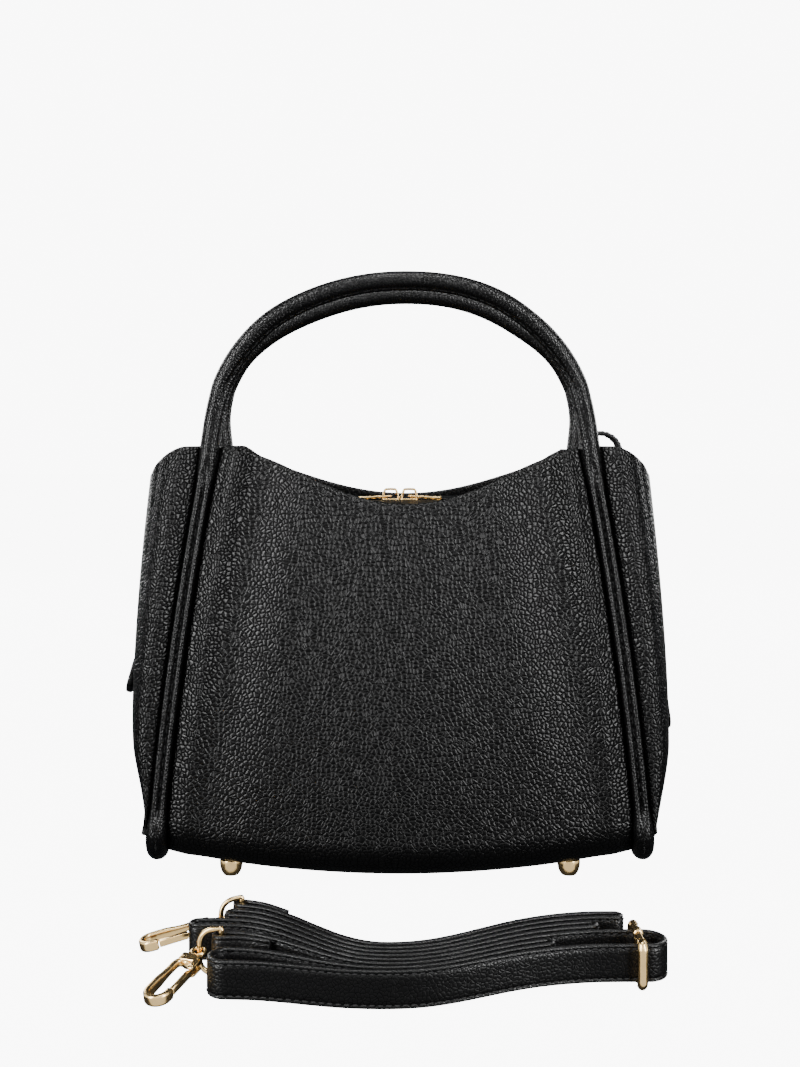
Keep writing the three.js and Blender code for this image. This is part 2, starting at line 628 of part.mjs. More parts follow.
function sliderSolid() {
  const half = SLIDER_LENGTH / 2;
  const flangeEnd = half * 0.5;
  const flange = (side, up) =>
    box(
      vec(-half + 1.6, side > 0 ? FLANGE_INNER : -SLIDER_HALF_WIDTH, up > 0 ? FLANGE_TIP : -PLATE_HIGH),
      vec(flangeEnd, side > 0 ? SLIDER_HALF_WIDTH : -FLANGE_INNER, up > 0 ? PLATE_HIGH : -FLANGE_TIP),
    );
  const web = box(vec(-half + 1.5, -SLIDER_WEB / 2, -PLATE_HIGH), vec(half - 1.5, SLIDER_WEB / 2, PLATE_HIGH));
  const plates = [slab(plateShape(), PLATE_LOW, PLATE_HIGH), slab(plateShape(), -PLATE_HIGH, -PLATE_LOW)];
  const flanges = [flange(1, 1), flange(1, -1), flange(-1, 1), flange(-1, -1)];
  return join(...plates, web, ...flanges, bridgeSolid());
}

// Zip pulls: a bar in the bridge, two arms round it and a tapered grip that lies outwards
const PULL_PIN = 0.7;
const PULL_PIVOT = PLATE_HIGH + 2 * GAP + PULL_PIN;
const PULL_ARM_INNER = BRIDGE_HALF_WIDTH + GAP;
const PULL_GRIP_START = BRIDGE_HALF_LENGTH + 1.2;
const PULL_THICK = 1.2;
function pullSolid() {
  const outline = new THREE.Shape();
  const wide = PULL_ARM_INNER + 1;
  outline.moveTo(-PULL_PIN, -wide);
  outline.lineTo(PULL_GRIP_START + 1, -wide);
  outline.lineTo(PULL_LENGTH - 2, -PULL_WIDTH / 2);
  outline.quadraticCurveTo(PULL_LENGTH, -PULL_WIDTH / 2, PULL_LENGTH, 0);
  outline.quadraticCurveTo(PULL_LENGTH, PULL_WIDTH / 2, PULL_LENGTH - 2, PULL_WIDTH / 2);
  outline.lineTo(PULL_GRIP_START + 1, wide);
  outline.lineTo(-PULL_PIN, wide);
  const eye = new THREE.Path();
  eye.moveTo(PULL_PIN, -PULL_ARM_INNER);
  eye.lineTo(PULL_GRIP_START, -PULL_ARM_INNER);
  eye.lineTo(PULL_GRIP_START, PULL_ARM_INNER);
  eye.lineTo(PULL_PIN, PULL_ARM_INNER);
  outline.holes.push(eye);
  return slab(outline, -PULL_THICK / 2, PULL_THICK / 2, 4);
}
const SLIDER_X = SLIDER_LENGTH / 2 + GAP;
const pullDroop = Math.asin((PULL_PIVOT - TOOTH_HEIGHT / 2 - PULL_THICK / 2 - GAP) / PULL_LENGTH);
for (const [end, side] of [["left", -1], ["right", 1]]) {
  const slider = new THREE.Group();
  slider.position.set(side * SLIDER_X, 0, ZIP_HEIGHT);
  slider.rotation.z = side > 0 ? 0 : Math.PI;
  product.add(slider);
  piece(`zip_slider_${end}`, sliderSolid(), gold, slider);
  const pull = piece(`zip_pull_${end}`, pullSolid(), gold, slider);
  pull.position.z = PULL_PIVOT;
  pull.rotation.y = pullDroop;
}

// Zip tails: the tape's covered ends climb the folded side, cross its rim and hang down outside
const TAIL_COLUMNS = 5;
const FOLD_SKEW = 1.45;
const TAIL_OFF = 2 * GAP + TAIL * FOLD_SKEW;
const innerFace = (y, z) => gussetX(y, z) - LEATHER * FOLD_SKEW;
function tailRows(endHeight) {
  const climbFoot = ZIP_HEIGHT + 3 * TAIL;
  const climbTop = SIDE_RIM - 2;
  const rim = (y) => (innerFace(y, SIDE_RIM) + gussetX(y, SIDE_RIM)) / 2;
  const flatEnd = innerFace(0, ZIP_HEIGHT) - TAIL_OFF - 2 * TAIL;
  return [
    (y) => vec(ZIP_HALF_LENGTH + GAP, y, ZIP_HEIGHT + TAIL / 2),
    (y) => vec(flatEnd, y, ZIP_HEIGHT + TAIL / 2),
    (y) => vec(innerFace(y, climbFoot) - TAIL_OFF, y, climbFoot),
    (y) => vec(innerFace(y, climbTop) - TAIL_OFF, y, climbTop),
    (y) => vec(rim(y) - TAIL_OFF, y, SIDE_RIM + TAIL_OFF + GAP),
    (y) => vec(rim(y) + TAIL_OFF, y, SIDE_RIM + TAIL_OFF + GAP),
    ...range(9, (_, t) => (y) => {
      const z = climbTop + (endHeight - climbTop) * t;
      return vec(gussetX(y, z) + TAIL_OFF, y, z);
    }),
  ];
}
function tailSolid(endHeight) {
  const grid = tailRows(endHeight).map((station) =>
    range(TAIL_COLUMNS, (_, t) => station((2 * t - 1) * TAIL_HALF_WIDTH)),
  );
  return sheet(grid, TAIL);
}

// Leather end tabs on the tails
function tabSolid() {
  const outline = new THREE.Shape();
  const half = TAIL_HALF_WIDTH + 1;
  outline.moveTo(-half, 0);
  outline.lineTo(half, 0);
  outline.lineTo(half, -TAB_LENGTH + half);
  outline.absarc(0, -TAB_LENGTH + half, half, 0, -Math.PI, true);
  return slab(outline, 0, TAB, 5).rotateX(Math.PI / 2).rotateZ(Math.PI / 2);
}

// Strap loops: a leather strip that straddles the side rim over the tail and stands up as an eye
function loopPath(radius, top) {
  const legFoot = ZIP_HEIGHT + 6;
  const legTop = SIDE_RIM;
  const clear = TAIL_OFF + GAP * 2 + LOOP_STRIP / 2;
  const inside = (z) => innerFace(0, z) - clear;
  const outside = (z) => gussetX(LOOP_HALF_WIDTH, z) + clear;
  const middle = (inside(legTop) + outside(legTop)) / 2;
  const centre = top - LOOP_STRIP / 2 - radius;
  const eye = range(13, (_, t) => {
    const angle = (215 - 250 * t) * (Math.PI / 180);
    return vec(middle + radius * Math.cos(angle), 0, centre + radius * Math.sin(angle));
  });
  const leg = (x, z) => vec(x, 0, z);
  const legs = [leg(inside(legFoot), legFoot), leg(inside(legTop), legTop)];
  const outer = [leg(outside(legTop), legTop), leg(outside(legFoot), legFoot)];
  return [...legs, ...eye, ...outer];
}
const loopSection = [
  [-LOOP_HALF_WIDTH, -LOOP_STRIP / 2],
  [LOOP_HALF_WIDTH, -LOOP_STRIP / 2],
  [LOOP_HALF_WIDTH, LOOP_STRIP / 2],
  [-LOOP_HALF_WIDTH, LOOP_STRIP / 2],
];
const sides = [
  ["left", Math.PI, TAIL_END_HEIGHT_LEFT, TAB_LEAN_LEFT, LOOP_RADIUS_LEFT, LOOP_TOP_LEFT],
  ["right", 0, TAIL_END_HEIGHT_RIGHT, TAB_LEAN_RIGHT, LOOP_RADIUS_RIGHT, LOOP_TOP_RIGHT],
];
for (const [end, turn, tailEnd, lean, radius, top] of sides) {
  const side = new THREE.Group();
  side.rotation.z = turn;
  product.add(side);
  piece(`zip_tail_${end}`, tailSolid(tailEnd), leather, side);
  const tab = piece(`zip_tail_tab_${end}`, tabSolid(), leather, side);
  tab.position.set(gussetX(0, tailEnd) + 2 * GAP, 0, tailEnd - 3 * GAP);
  tab.rotation.y = -lean;
  const strap = loft(sweepLoops(loopPath(radius, top), () => loopSection, vec(0, 1, 0)));
  piece(`strap_loop_${end}`, strap, leather, side);
}

// Strap lanes, numbered from the back: they pinch at the waist and spread to both ends
const RING_CLEAR = 0.6;
const END_RISE = 2 * WIRE_RADIUS + RING_CLEAR;
const fanned = (lane, pitch) => (4.5 - lane) * pitch;
function laneY(lane, x) {
  const left = LANES_LEFT.y + LANES_LEFT.offsets[lane - 1];
  const waist = LANES_WAIST.y + fanned(lane, LANES_WAIST.pitch);
  const right = LANES_RIGHT.y + fanned(lane, LANES_RIGHT.pitch);
  if (x < LANES_WAIST.x) {
    return waist + (left - waist) * smooth((LANES_WAIST.x - x) / (LANES_WAIST.x - LANES_LEFT.x));
  }
  return waist + (right - waist) * smooth((x - LANES_WAIST.x) / (LANES_RIGHT.x - LANES_WAIST.x));
}
const strapRise = (x) => END_RISE * smooth(Math.abs(x - LANES_WAIST.x) / RISE_LENGTH - 0.1);
const strapPoint = (x, y) => vec(x, y, strapRise(x) + STRAP_WIDTH / 2);

// One run of a lane between two places, and a half turn that joins two lanes
const LANE_STEP = 11;
function laneRun(lane, from, to) {
  const steps = Math.max(2, Math.round(Math.abs(to - from) / LANE_STEP));
  return range(steps + 1, (_, t) => {
    const x = from + (to - from) * t;
    return strapPoint(x, laneY(lane, x));
  });
}
function halfTurn(x, fromY, toY, reach, steps = 5) {
  const middle = (fromY + toY) / 2;
  const half = (fromY - toY) / 2;
  return range(steps, (i) => {
    const angle = (Math.PI * (i + 1)) / (steps + 1);
    return strapPoint(x + reach * Math.sin(angle), middle + half * Math.cos(angle));
  });
}
const turnBetween = (lane, next, x, outwards) => {
  const from = laneY(lane, x);
  const to = laneY(next, x);
  return halfTurn(x, from, to, (outwards * Math.abs(from - to)) / 2, Math.abs(from - to) > 10 ? 7 : 5);
};

// The strap's two ends lap back round their rings
const RING_HUG = WIRE_RADIUS + GAP + STRAP / 2;
function endLap(lane, x, side) {
  const y = laneY(lane, x);
  const lap = range(3, (_, t) => {
    const back = x + STRAP_END_LAP * (1 - t);
    const spread = RING_HUG * 2 - 1.8 * (1 - t);
    return strapPoint(back, laneY(lane, back) + side * spread);
  });
  return [...lap, ...halfTurn(x, y + side * 2 * RING_HUG, y, -RING_HUG)];
}
const strapPath = [
  ...endLap(1, RINGS.back, 1),
  ...laneRun(1, RINGS.back, TURNS_RIGHT.back),
  ...turnBetween(1, 2, TURNS_RIGHT.back, 1),
  ...laneRun(2, TURNS_RIGHT.back, TURNS_LEFT.back),
  ...turnBetween(2, 3, TURNS_LEFT.back, -1),
  ...laneRun(3, TURNS_LEFT.back, TURNS_RIGHT.inner),
  ...turnBetween(3, 4, TURNS_RIGHT.inner, 1),
  ...laneRun(4, TURNS_RIGHT.inner, TURNS_LEFT.long),
  ...turnBetween(4, 5, TURNS_LEFT.long, -1),
  ...laneRun(5, TURNS_LEFT.long, TURNS_RIGHT.long),
  ...turnBetween(5, 8, TURNS_RIGHT.long, 1),
  ...laneRun(8, TURNS_RIGHT.long, TURNS_LEFT.front),
  ...turnBetween(8, 7, TURNS_LEFT.front, -1),
  ...laneRun(7, TURNS_LEFT.front, TURNS_RIGHT.front),
  ...turnBetween(7, 6, TURNS_RIGHT.front, 1),
  ...laneRun(6, TURNS_RIGHT.front, RINGS.front),
  ...endLap(6, RINGS.front, -1).reverse(),
];
const strapSection = [
  [-STRAP_WIDTH / 2, -STRAP / 2],
  [STRAP_WIDTH / 2, -STRAP / 2],
  [STRAP_WIDTH / 2, STRAP / 2],
  [-STRAP_WIDTH / 2, STRAP / 2],
];
piece("strap_band", loft(sweepLoops(strapPath, () => strapSection, vec(0, 0, 1))), leather);

// The least gap between two stretches of the strap that aren't neighbours along it
function leastGap(path) {
  const along = [0];
  path.slice(1).forEach((p, i) => along.push(along[i] + p.distanceTo(path[i])));
  let least = Infinity;
  path.forEach((p, i) => {
    path.slice(i + 1).forEach((q, k) => {
      const apart = along[i + 1 + k] - along[i];
      if (apart > 5 * STRAP) least = Math.min(least, Math.hypot(p.x - q.x, p.y - q.y) - STRAP);
    });
  });
  console.log(`strap ${along.at(-1).toFixed(0)} mm long, least gap to itself ${least.toFixed(2)} mm`);
}
leastGap(strapPath);

// D rings: a straight bar in the strap's lap and a bow that the hook hangs on
const RING_HALF_HEIGHT = STRAP_WIDTH / 2 + RING_CLEAR + WIRE_RADIUS;
const RING_MIDDLE = RING_HALF_HEIGHT + WIRE_RADIUS;
function ringSolid() {
  const bar = range(3, (_, t) => vec(0, 0, RING_HALF_HEIGHT * (1.6 * t - 0.8)));
  const bow = range(13, (_, t) => {
    const angle = Math.PI * (0.5 - t);
    const rise = Math.sign(angle) * Math.abs(Math.sin(angle)) ** 0.6;
    return vec(RING_BOW * Math.max(0, Math.cos(angle)) ** 0.8, 0, RING_HALF_HEIGHT * rise);
  });
  return loft(closedLoops([...bar, ...bow], round(WIRE_RADIUS, 8), vec(0, 1, 0)), true);
}

// Loops of a section round a closed path
function closedLoops(path, section, out) {
  const count = path.length;
  return path.map((p, i) => {
    const along = path[(i + 1) % count].clone().sub(path[(i + count - 1) % count]).normalize();
    const side = along.clone().cross(out).normalize();
    const lean = side.clone().cross(along);
    return section.map(([a, b]) => p.clone().addScaledVector(lean, a).addScaledVector(side, b));
  });
}

// Snap hooks: a swivel eye, an oval frame with a head, a sprung gate and its pin
const EYE_RADIUS = 2.7;
const EYE_TUBE = 0.9;
const EYE_CENTRE = EYE_RADIUS - EYE_TUBE - WIRE_RADIUS - GAP + 0.1;
const HEAD_START = EYE_CENTRE + EYE_RADIUS + EYE_TUBE + 2 * GAP;
const HEAD_END = HEAD_START + HOOK_HEAD;
const HEAD_HALF_WIDTH = 4.2;
const HEAD_HALF_THICK = 2.2;
const FRAME_INNER = HOOK_HALF_WIDTH - HOOK_RIM;
const PIVOT_X = HEAD_END + 2.8;
const PIVOT_Y = (HOOK_HALF_WIDTH + FRAME_INNER) / 2;
const EAR_END = PIVOT_X + 2;
const NOSE_START = HOOK_LENGTH - HOOK_HALF_WIDTH - 2.2;
const GATE_THICK = 1.6;
const GATE_HALF_WIDTH = 1;
const SLOT_HALF = GATE_THICK / 2 + GAP;
const rod = (radius, length, sides = 10) =>
  turned([[0, 0], [radius, 0], [radius, length], [0, length]], sides);
const rodX = (radius, from, to) => rod(radius, to - from).rotateY(Math.PI / 2).translate(from, 0, 0);
const pivotRod = (radius, half) => rod(radius, 2 * half).translate(PIVOT_X, PIVOT_Y, -half);

function swivelSolid() {
  const eye = new THREE.TorusGeometry(EYE_RADIUS, EYE_TUBE, 6, 14).translate(EYE_CENTRE, 0, 0);
  const post = rodX(POST_RADIUS, EYE_CENTRE + EYE_RADIUS, HEAD_END + GAP + 0.5);
  const rivet = rodX(POST_RADIUS + 0.8, HEAD_END + GAP, HEAD_END + GAP + 1);
  return join(eye, post, rivet);
}
function stadium(path, from, to, half) {
  path.moveTo(from + half, -half);
  path.lineTo(to - half, -half);
  path.absarc(to - half, 0, half, -Math.PI / 2, Math.PI / 2, false);
  path.lineTo(from + half, half);
  path.absarc(from + half, 0, half, Math.PI / 2, (3 * Math.PI) / 2, false);
  return path;
}
function hookSolid() {
  const half = HOOK_THICK / 2;
  const outline = stadium(new THREE.Shape(), HEAD_START + 1.5, HOOK_LENGTH, HOOK_HALF_WIDTH);
  const inside = stadium(new THREE.Shape(), HEAD_END - 2.2, HOOK_LENGTH - HOOK_RIM, FRAME_INNER);
  const frame = cut(slab(outline, -half, half), slab(inside, -HOOK_THICK, HOOK_THICK));
  const head = box(
    vec(HEAD_START, -HEAD_HALF_WIDTH, -HEAD_HALF_THICK),
    vec(HEAD_END, HEAD_HALF_WIDTH, HEAD_HALF_THICK),
  );
  const ear = box(
    vec(HEAD_END - 1, PIVOT_Y - 1.5, -HEAD_HALF_THICK),
    vec(EAR_END, HOOK_HALF_WIDTH + 0.3, HEAD_HALF_THICK),
  );
  const gateRoom = box(
    vec(EAR_END, FRAME_INNER - 0.4, -HOOK_THICK),
    vec(NOSE_START, HOOK_HALF_WIDTH + 1, HOOK_THICK),
  );
  const slot = box(
    vec(PIVOT_X - 2.1, FRAME_INNER - 2, -SLOT_HALF),
    vec(EAR_END + 1, HOOK_HALF_WIDTH + 1, SLOT_HALF),
  );
  const bore = rodX(POST_RADIUS + GAP, HEAD_START - 1, HEAD_END + 1);
  return cut(join(cut(frame, gateRoom), head, ear), slot, bore, pivotRod(GATE_PIN_RADIUS + GAP, HOOK_THICK));
}
function gateSolid() {
  const bar = box(
    vec(PIVOT_X, PIVOT_Y - GATE_HALF_WIDTH, -GATE_THICK / 2),
    vec(NOSE_START - GAP, PIVOT_Y + GATE_HALF_WIDTH, GATE_THICK / 2),
  );
  const grip = box(
    vec(EAR_END + 0.8, PIVOT_Y - GATE_HALF_WIDTH, -HOOK_THICK / 2),
    vec(NOSE_START - GAP, PIVOT_Y + GATE_HALF_WIDTH, HOOK_THICK / 2),
  );
  const eye = pivotRod(GATE_PIN_RADIUS + GAP + 0.6, GATE_THICK / 2);
  return cut(join(bar, grip, eye), pivotRod(GATE_PIN_RADIUS + GAP, HOOK_THICK));
}

// Each strap end carries its ring and hook; the hooks lean down until their tips near the floor
const hookDip = Math.asin((RING_MIDDLE - HOOK_THICK) / HOOK_LENGTH);
const strapEnds = [
  ["back", RINGS.back, 1, 1, Math.PI + 0.25, 0],
  ["front", RINGS.front, 6, -1, Math.PI - 0.1, 1.25],
];
for (const [end, x, lane, side, ringYaw, hookYaw] of strapEnds) {
  const ring = new THREE.Group();
  ring.position.set(x, laneY(lane, x) + side * RING_HUG, RING_MIDDLE);
  ring.rotation.z = ringYaw;
  product.add(ring);
  piece(`strap_ring_${end}`, ringSolid(), gold, ring);
  const hook = new THREE.Group();
  hook.position.x = RING_BOW;
  hook.rotation.set(0, hookDip, hookYaw, "ZYX");
  ring.add(hook);
  piece(`hook_swivel_${end}`, swivelSolid(), gold, hook);
  piece(`hook_frame_${end}`, hookSolid(), gold, hook);
  piece(`hook_gate_${end}`, gateSolid(), gold, hook);
  piece(`hook_gate_pin_${end}`, pivotRod(GATE_PIN_RADIUS, HEAD_HALF_THICK - 0.1), gold, hook);
}

// Slide buckle: a frame with a middle bar, threaded on the two lanes of the strap's long loop
function buckleSolid() {
  const laneRoom = STRAP / 2 + RING_CLEAR;
  const front = laneY(8, BUCKLE_X) - laneRoom;
  const back = laneY(5, BUCKLE_X) + laneRoom;
  const middle = (front + back) / 2;
  const tall = 2 * BUCKLE_RAIL + 2 * RING_CLEAR + STRAP_WIDTH;
  const low = BUCKLE_RAIL;
  const high = tall - BUCKLE_RAIL;
  const corner = 2;
  const outline = new THREE.Shape();
  const [outerFront, outerBack] = [front - BUCKLE_BAR, back + BUCKLE_BAR];
  outline.moveTo(outerFront + corner, 0);
  outline.lineTo(outerBack - corner, 0);
  outline.quadraticCurveTo(outerBack, 0, outerBack, corner);
  outline.lineTo(outerBack, tall - corner);
  outline.quadraticCurveTo(outerBack, tall, outerBack - corner, tall);
  outline.lineTo(outerFront + corner, tall);
  outline.quadraticCurveTo(outerFront, tall, outerFront, tall - corner);
  outline.lineTo(outerFront, corner);
  outline.quadraticCurveTo(outerFront, 0, outerFront + corner, 0);
  const half = BUCKLE_BAR / 2;
  const window = (from, to) => box(vec(from, low, -BUCKLE_BAR), vec(to, high, BUCKLE_BAR));
  const frame = cut(slab(outline, -half, half, 4), window(front, middle - half), window(middle + half, back));
  return frame.rotateX(Math.PI / 2).rotateZ(Math.PI / 2).translate(BUCKLE_X, 0, 0);
}
piece("slide_buckle", buckleSolid(), gold);

// The whole set stands on the floor, centred on its own box
const extent = new THREE.Box3().setFromObject(product, true);
const centre = extent.getCenter(new THREE.Vector3());
product.position.set(-centre.x, -centre.y, -extent.min.z);
const tote = new THREE.Group();
tote.add(product);
export default tote;
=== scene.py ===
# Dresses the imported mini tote: pebbled leather body, rolled handles, zip, feet and folded strap.
import json
import math

import bmesh
import bpy
import numpy as np
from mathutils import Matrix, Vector

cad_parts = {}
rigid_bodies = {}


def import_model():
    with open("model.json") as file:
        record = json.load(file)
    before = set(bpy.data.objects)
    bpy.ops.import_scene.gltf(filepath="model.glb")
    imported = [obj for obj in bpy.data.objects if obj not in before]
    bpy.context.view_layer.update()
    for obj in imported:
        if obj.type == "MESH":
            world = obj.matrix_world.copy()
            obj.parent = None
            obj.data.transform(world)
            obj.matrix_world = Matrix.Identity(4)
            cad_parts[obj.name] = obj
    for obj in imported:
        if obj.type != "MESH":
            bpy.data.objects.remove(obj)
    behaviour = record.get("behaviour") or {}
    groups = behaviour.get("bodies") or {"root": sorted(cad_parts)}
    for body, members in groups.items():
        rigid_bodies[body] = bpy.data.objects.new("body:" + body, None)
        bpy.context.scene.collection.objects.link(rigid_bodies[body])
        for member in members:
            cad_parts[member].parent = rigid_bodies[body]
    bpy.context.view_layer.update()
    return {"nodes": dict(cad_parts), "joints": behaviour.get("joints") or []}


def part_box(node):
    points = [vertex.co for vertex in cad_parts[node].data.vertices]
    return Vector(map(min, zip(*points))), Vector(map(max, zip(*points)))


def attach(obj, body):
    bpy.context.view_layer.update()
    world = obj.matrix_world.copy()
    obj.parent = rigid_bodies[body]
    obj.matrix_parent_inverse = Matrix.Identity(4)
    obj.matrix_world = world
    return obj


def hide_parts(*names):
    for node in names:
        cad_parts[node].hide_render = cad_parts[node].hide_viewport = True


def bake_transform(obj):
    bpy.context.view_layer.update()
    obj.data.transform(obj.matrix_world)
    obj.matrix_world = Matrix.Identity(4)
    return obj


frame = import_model()

# Shapes are in millimetres about the middle of the feet, and become metres in the shared frame
MM = 0.001
FEET_LOW = np.array(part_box("foot_front_left")[0])
FEET_HIGH = np.array(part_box("foot_back_right")[1])
SHIFT = (FEET_LOW + FEET_HIGH) / 2 / MM
SHIFT[2] = 0.0
# Points closer than this, in metres, become one
WELD = 2e-6
UP = (0.0, 0.0, 1.0)
JOINTS = {j["name"]: j for j in frame["joints"]}

# Half a turn about the upright axis makes the back from the front, and the left from the right
STRAIGHT, HALF_TURN = np.ones(3), np.array([-1.0, -1.0, 1.0])
TURNS = {"front": STRAIGHT, "back": HALF_TURN, "right": STRAIGHT, "left": HALF_TURN}


def clamp01(t):
    return np.clip(t, 0, 1)


def smooth(t):
    return (1 - np.cos(np.pi * clamp01(t))) / 2


def hump(v, middle, width):
    return np.exp(-(((v - middle) / width) ** 2))


def unit(v):
    v = np.asarray(v, float)
    return v / np.maximum(np.linalg.norm(v, axis=-1, keepdims=True), 1e-9)


# Makes one piece from (points, faces), gives it its finish and sets it on its body
def make(name, form, material, body=None, nodes=(), grain=None, turn=STRAIGHT):
    mesh = bpy.data.meshes.new(name)
    points = np.asarray(form[0], float) * turn
    mesh.from_pydata(((points + SHIFT) * MM).tolist(), [], form[1])
    # Flat places on the skin for the grain: as given, or the two widest directions
    if grain is None:
        grain = points[:, np.sort(np.argsort(np.ptp(points, axis=0))[1:])]
    flat = np.zeros((len(points), 3))
    flat[:, :2] = grain * MM
    mesh.attributes.new("grain", "FLOAT_VECTOR", "POINT").data.foreach_set("vector", flat.ravel())
    work = bmesh.new()
    work.from_mesh(mesh)
    bmesh.ops.remove_doubles(work, verts=work.verts, dist=WELD)
    bmesh.ops.recalc_face_normals(work, faces=work.faces)
    work.to_mesh(mesh)
    work.free()
    mesh.shade_smooth()
    mesh.materials.append(material)
    obj = bpy.data.objects.new(name, mesh)
    bpy.context.scene.collection.objects.link(obj)
    if nodes:
        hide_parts(*nodes)
    if body:
        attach(obj, body)
    return obj


# Quads between the rows of a grid of point numbers
def quads(grid, wrap=False):
    grid = np.asarray(grid)
    if wrap:
        grid = np.concatenate([grid, grid[:, :1]], axis=1)
    a, b = grid[:-1, :-1], grid[:-1, 1:]
    c, d = grid[1:, 1:], grid[1:, :-1]
    return np.stack([a, b, c, d], axis=-1).reshape(-1, 4).tolist()


def numbers(rows, columns):
    return np.arange(rows * columns).reshape(rows, columns)


# Faces round a stack of loops of point numbers, closed at both ends
def capped(number):
    return quads(number, True) + [number[0].tolist(), number[-1].tolist()]





def lengths(path):
    steps = np.linalg.norm(np.diff(path, axis=0), axis=-1)
    return np.concatenate([np.zeros_like(steps[:1]), np.cumsum(steps, axis=0)])


# Rows and columns round the border of a grid
def border(rows, columns):
    number = numbers(rows, columns)
    ring = [number[0], number[1:, -1], number[-1, -2::-1], number[-2:0:-1, 0]]
    return np.unravel_index(np.concatenate(ring), number.shape)


# Lengths along a grid, across from its middle and down from its top, for the skin that shell() makes
def shell_grain(points, steps=4):
    across = lengths(points.transpose(1, 0, 2)).T
    across = across - across[:, across.shape[1] // 2][:, None]
    flat = np.stack([across, lengths(points) - points[:1, :, 2]], axis=-1)
    edge = flat[border(*points.shape[:2])]
    flat = flat.reshape(-1, 2)
    return np.concatenate([flat, flat] + [edge] * (steps - 1))


# A closed skin behind a grid of points, with turned edges all round
def shell(points, thick, steps=4):
    rows, columns = points.shape[:2]
    normal = unit(np.cross(np.gradient(points, axis=1), np.gradient(points, axis=0)))
    back = points + normal * thick
    number = numbers(rows, columns)
    ring = border(rows, columns)
    inside = (np.clip(ring[0], 1, rows - 2), np.clip(ring[1], 1, columns - 2))
    out = unit(points[ring] - points[inside])
    middle = points[ring] + normal[ring] * thick / 2
    count, around = rows * columns, len(ring[0])
    loops = [number[ring]]
    extra = []
    for k in range(1, steps):
        angle = math.pi * k / steps
        lift = math.sin(angle) * out - math.cos(angle) * normal[ring]
        extra.append(middle + lift * thick / 2)
        loops.append(2 * count + (k - 1) * around + np.arange(around))
    loops.append(number[ring] + count)
    faces = quads(number) + quads(number[:, ::-1] + count) + quads(np.array(loops), True)
    return np.concatenate([points.reshape(-1, 3), back.reshape(-1, 3), *extra]), faces


# A smooth path through points, in even steps; a closed one ends one step before its start
def smooth_path(points, step, closed=False):
    p = np.asarray(points, float)
    if closed:
        q = np.concatenate([p[-1:], p, p[:2]])
    else:
        q = np.concatenate([2 * p[:1] - p[1:2], p, 2 * p[-1:] - p[-2:-1]])
    t = np.linspace(0, 1, 12, endpoint=False)[:, None]
    fine = []
    for i in range(len(q) - 3):
        a, b, c, d = q[i:i + 4]
        bend = (2 * a - 5 * b + 4 * c - d) * t**2 + (3 * b - a - 3 * c + d) * t**3
        fine.append(b + ((c - a) * t + bend) / 2)
    fine = np.concatenate(fine + [q[-2:-1]])
    along = lengths(fine)
    count = max(2, int(round(along[-1] / step)) + 1)
    even = np.linspace(0, along[-1], count)
    path = np.stack([np.interp(even, along, fine[:, k]) for k in range(3)], axis=1)
    return path[:-1] if closed else path


# Frames along a path: its direction, a given outward way made square to it, and the way across
def path_frames(path, out, closed=False):
    if closed:
        along = np.roll(path, -1, axis=0) - np.roll(path, 1, axis=0)
    else:
        along = np.gradient(path, axis=0)
    along = unit(along)
    out = np.broadcast_to(np.asarray(out, float), path.shape)
    out = unit(out - along * np.sum(out * along, axis=1, keepdims=True))
    return along, out, np.cross(along, out)


# Sweeps a section, given as (out, across) pairs at each station, along a path
def sweep(path, section, out, closed=False):
    out, across = path_frames(path, out, closed)[1:]
    section = np.asarray(section, float)
    if section.ndim == 2:
        section = np.broadcast_to(section, (len(path), *section.shape))
    points = path[:, None] + section[..., :1] * out[:, None] + section[..., 1:] * across[:, None]
    number = numbers(*points.shape[:2])
    faces = quads(np.concatenate([number, number[:1]]), True) if closed else capped(number)
    return points.reshape(-1, 3), faces


# Lengths along a path and round its section, for the skin that sweep() makes
def sweep_grain(path, section):
    section = np.asarray(section, float)
    middle = section[len(section) // 2] if section.ndim == 3 else section
    flat = np.broadcast_arrays(lengths(path)[:, None], lengths(middle)[None])
    return np.stack(flat, axis=-1).reshape(-1, 2)


def full_turn(sides):
    return np.linspace(0, 2 * np.pi, sides, endpoint=False)


def circle(radius, sides):
    angle = full_turn(sides)
    return radius * np.stack([np.cos(angle), np.sin(angle)], axis=1)


def arc(x, y, radius, start, end, count):
    angle = np.radians(np.linspace(start, end, count))
    return [(x + radius * math.cos(a), y + radius * math.sin(a)) for a in angle]


# A box section with round corners, as (out, across) pairs
def rounded(half_out, half_across, radius, steps=5):
    corners = [(1, 1, 0), (-1, 1, 90), (-1, -1, 180), (1, -1, 270)]
    points = []
    for so, sa, start in corners:
        out, across = so * (half_out - radius), sa * (half_across - radius)
        points += arc(out, across, radius, start, start + 90, steps)
    return np.array(points)


# A turned piece about an upright axis, from (radius, height) pairs that start and end on it
def turned(profile, centre, sides=40):
    profile = np.asarray(profile, float)
    ring = np.column_stack([circle(1, sides), np.zeros(sides)])
    points = profile[:, :1, None] * ring
    points[..., 2] = profile[:, 1:]
    return points.reshape(-1, 3) + centre, quads(numbers(len(profile), sides), True)


# Joins several (points, faces) sets into one
def merged(sets):
    points, faces = [], []
    start = 0
    for p, f in sets:
        points.append(np.asarray(p))
        faces += [[i + start for i in face] for face in f]
        start += len(p)
    return np.concatenate(points), faces


# Stations of one stitch: share of its length, share of its thickness, and how deep it dips
STITCH_SHAPE = ((-0.5, 0.35, 0.7), (-0.3, 1, 0), (0.3, 1, 0), (0.5, 0.35, 0.7))
STITCH_SIDES = 6


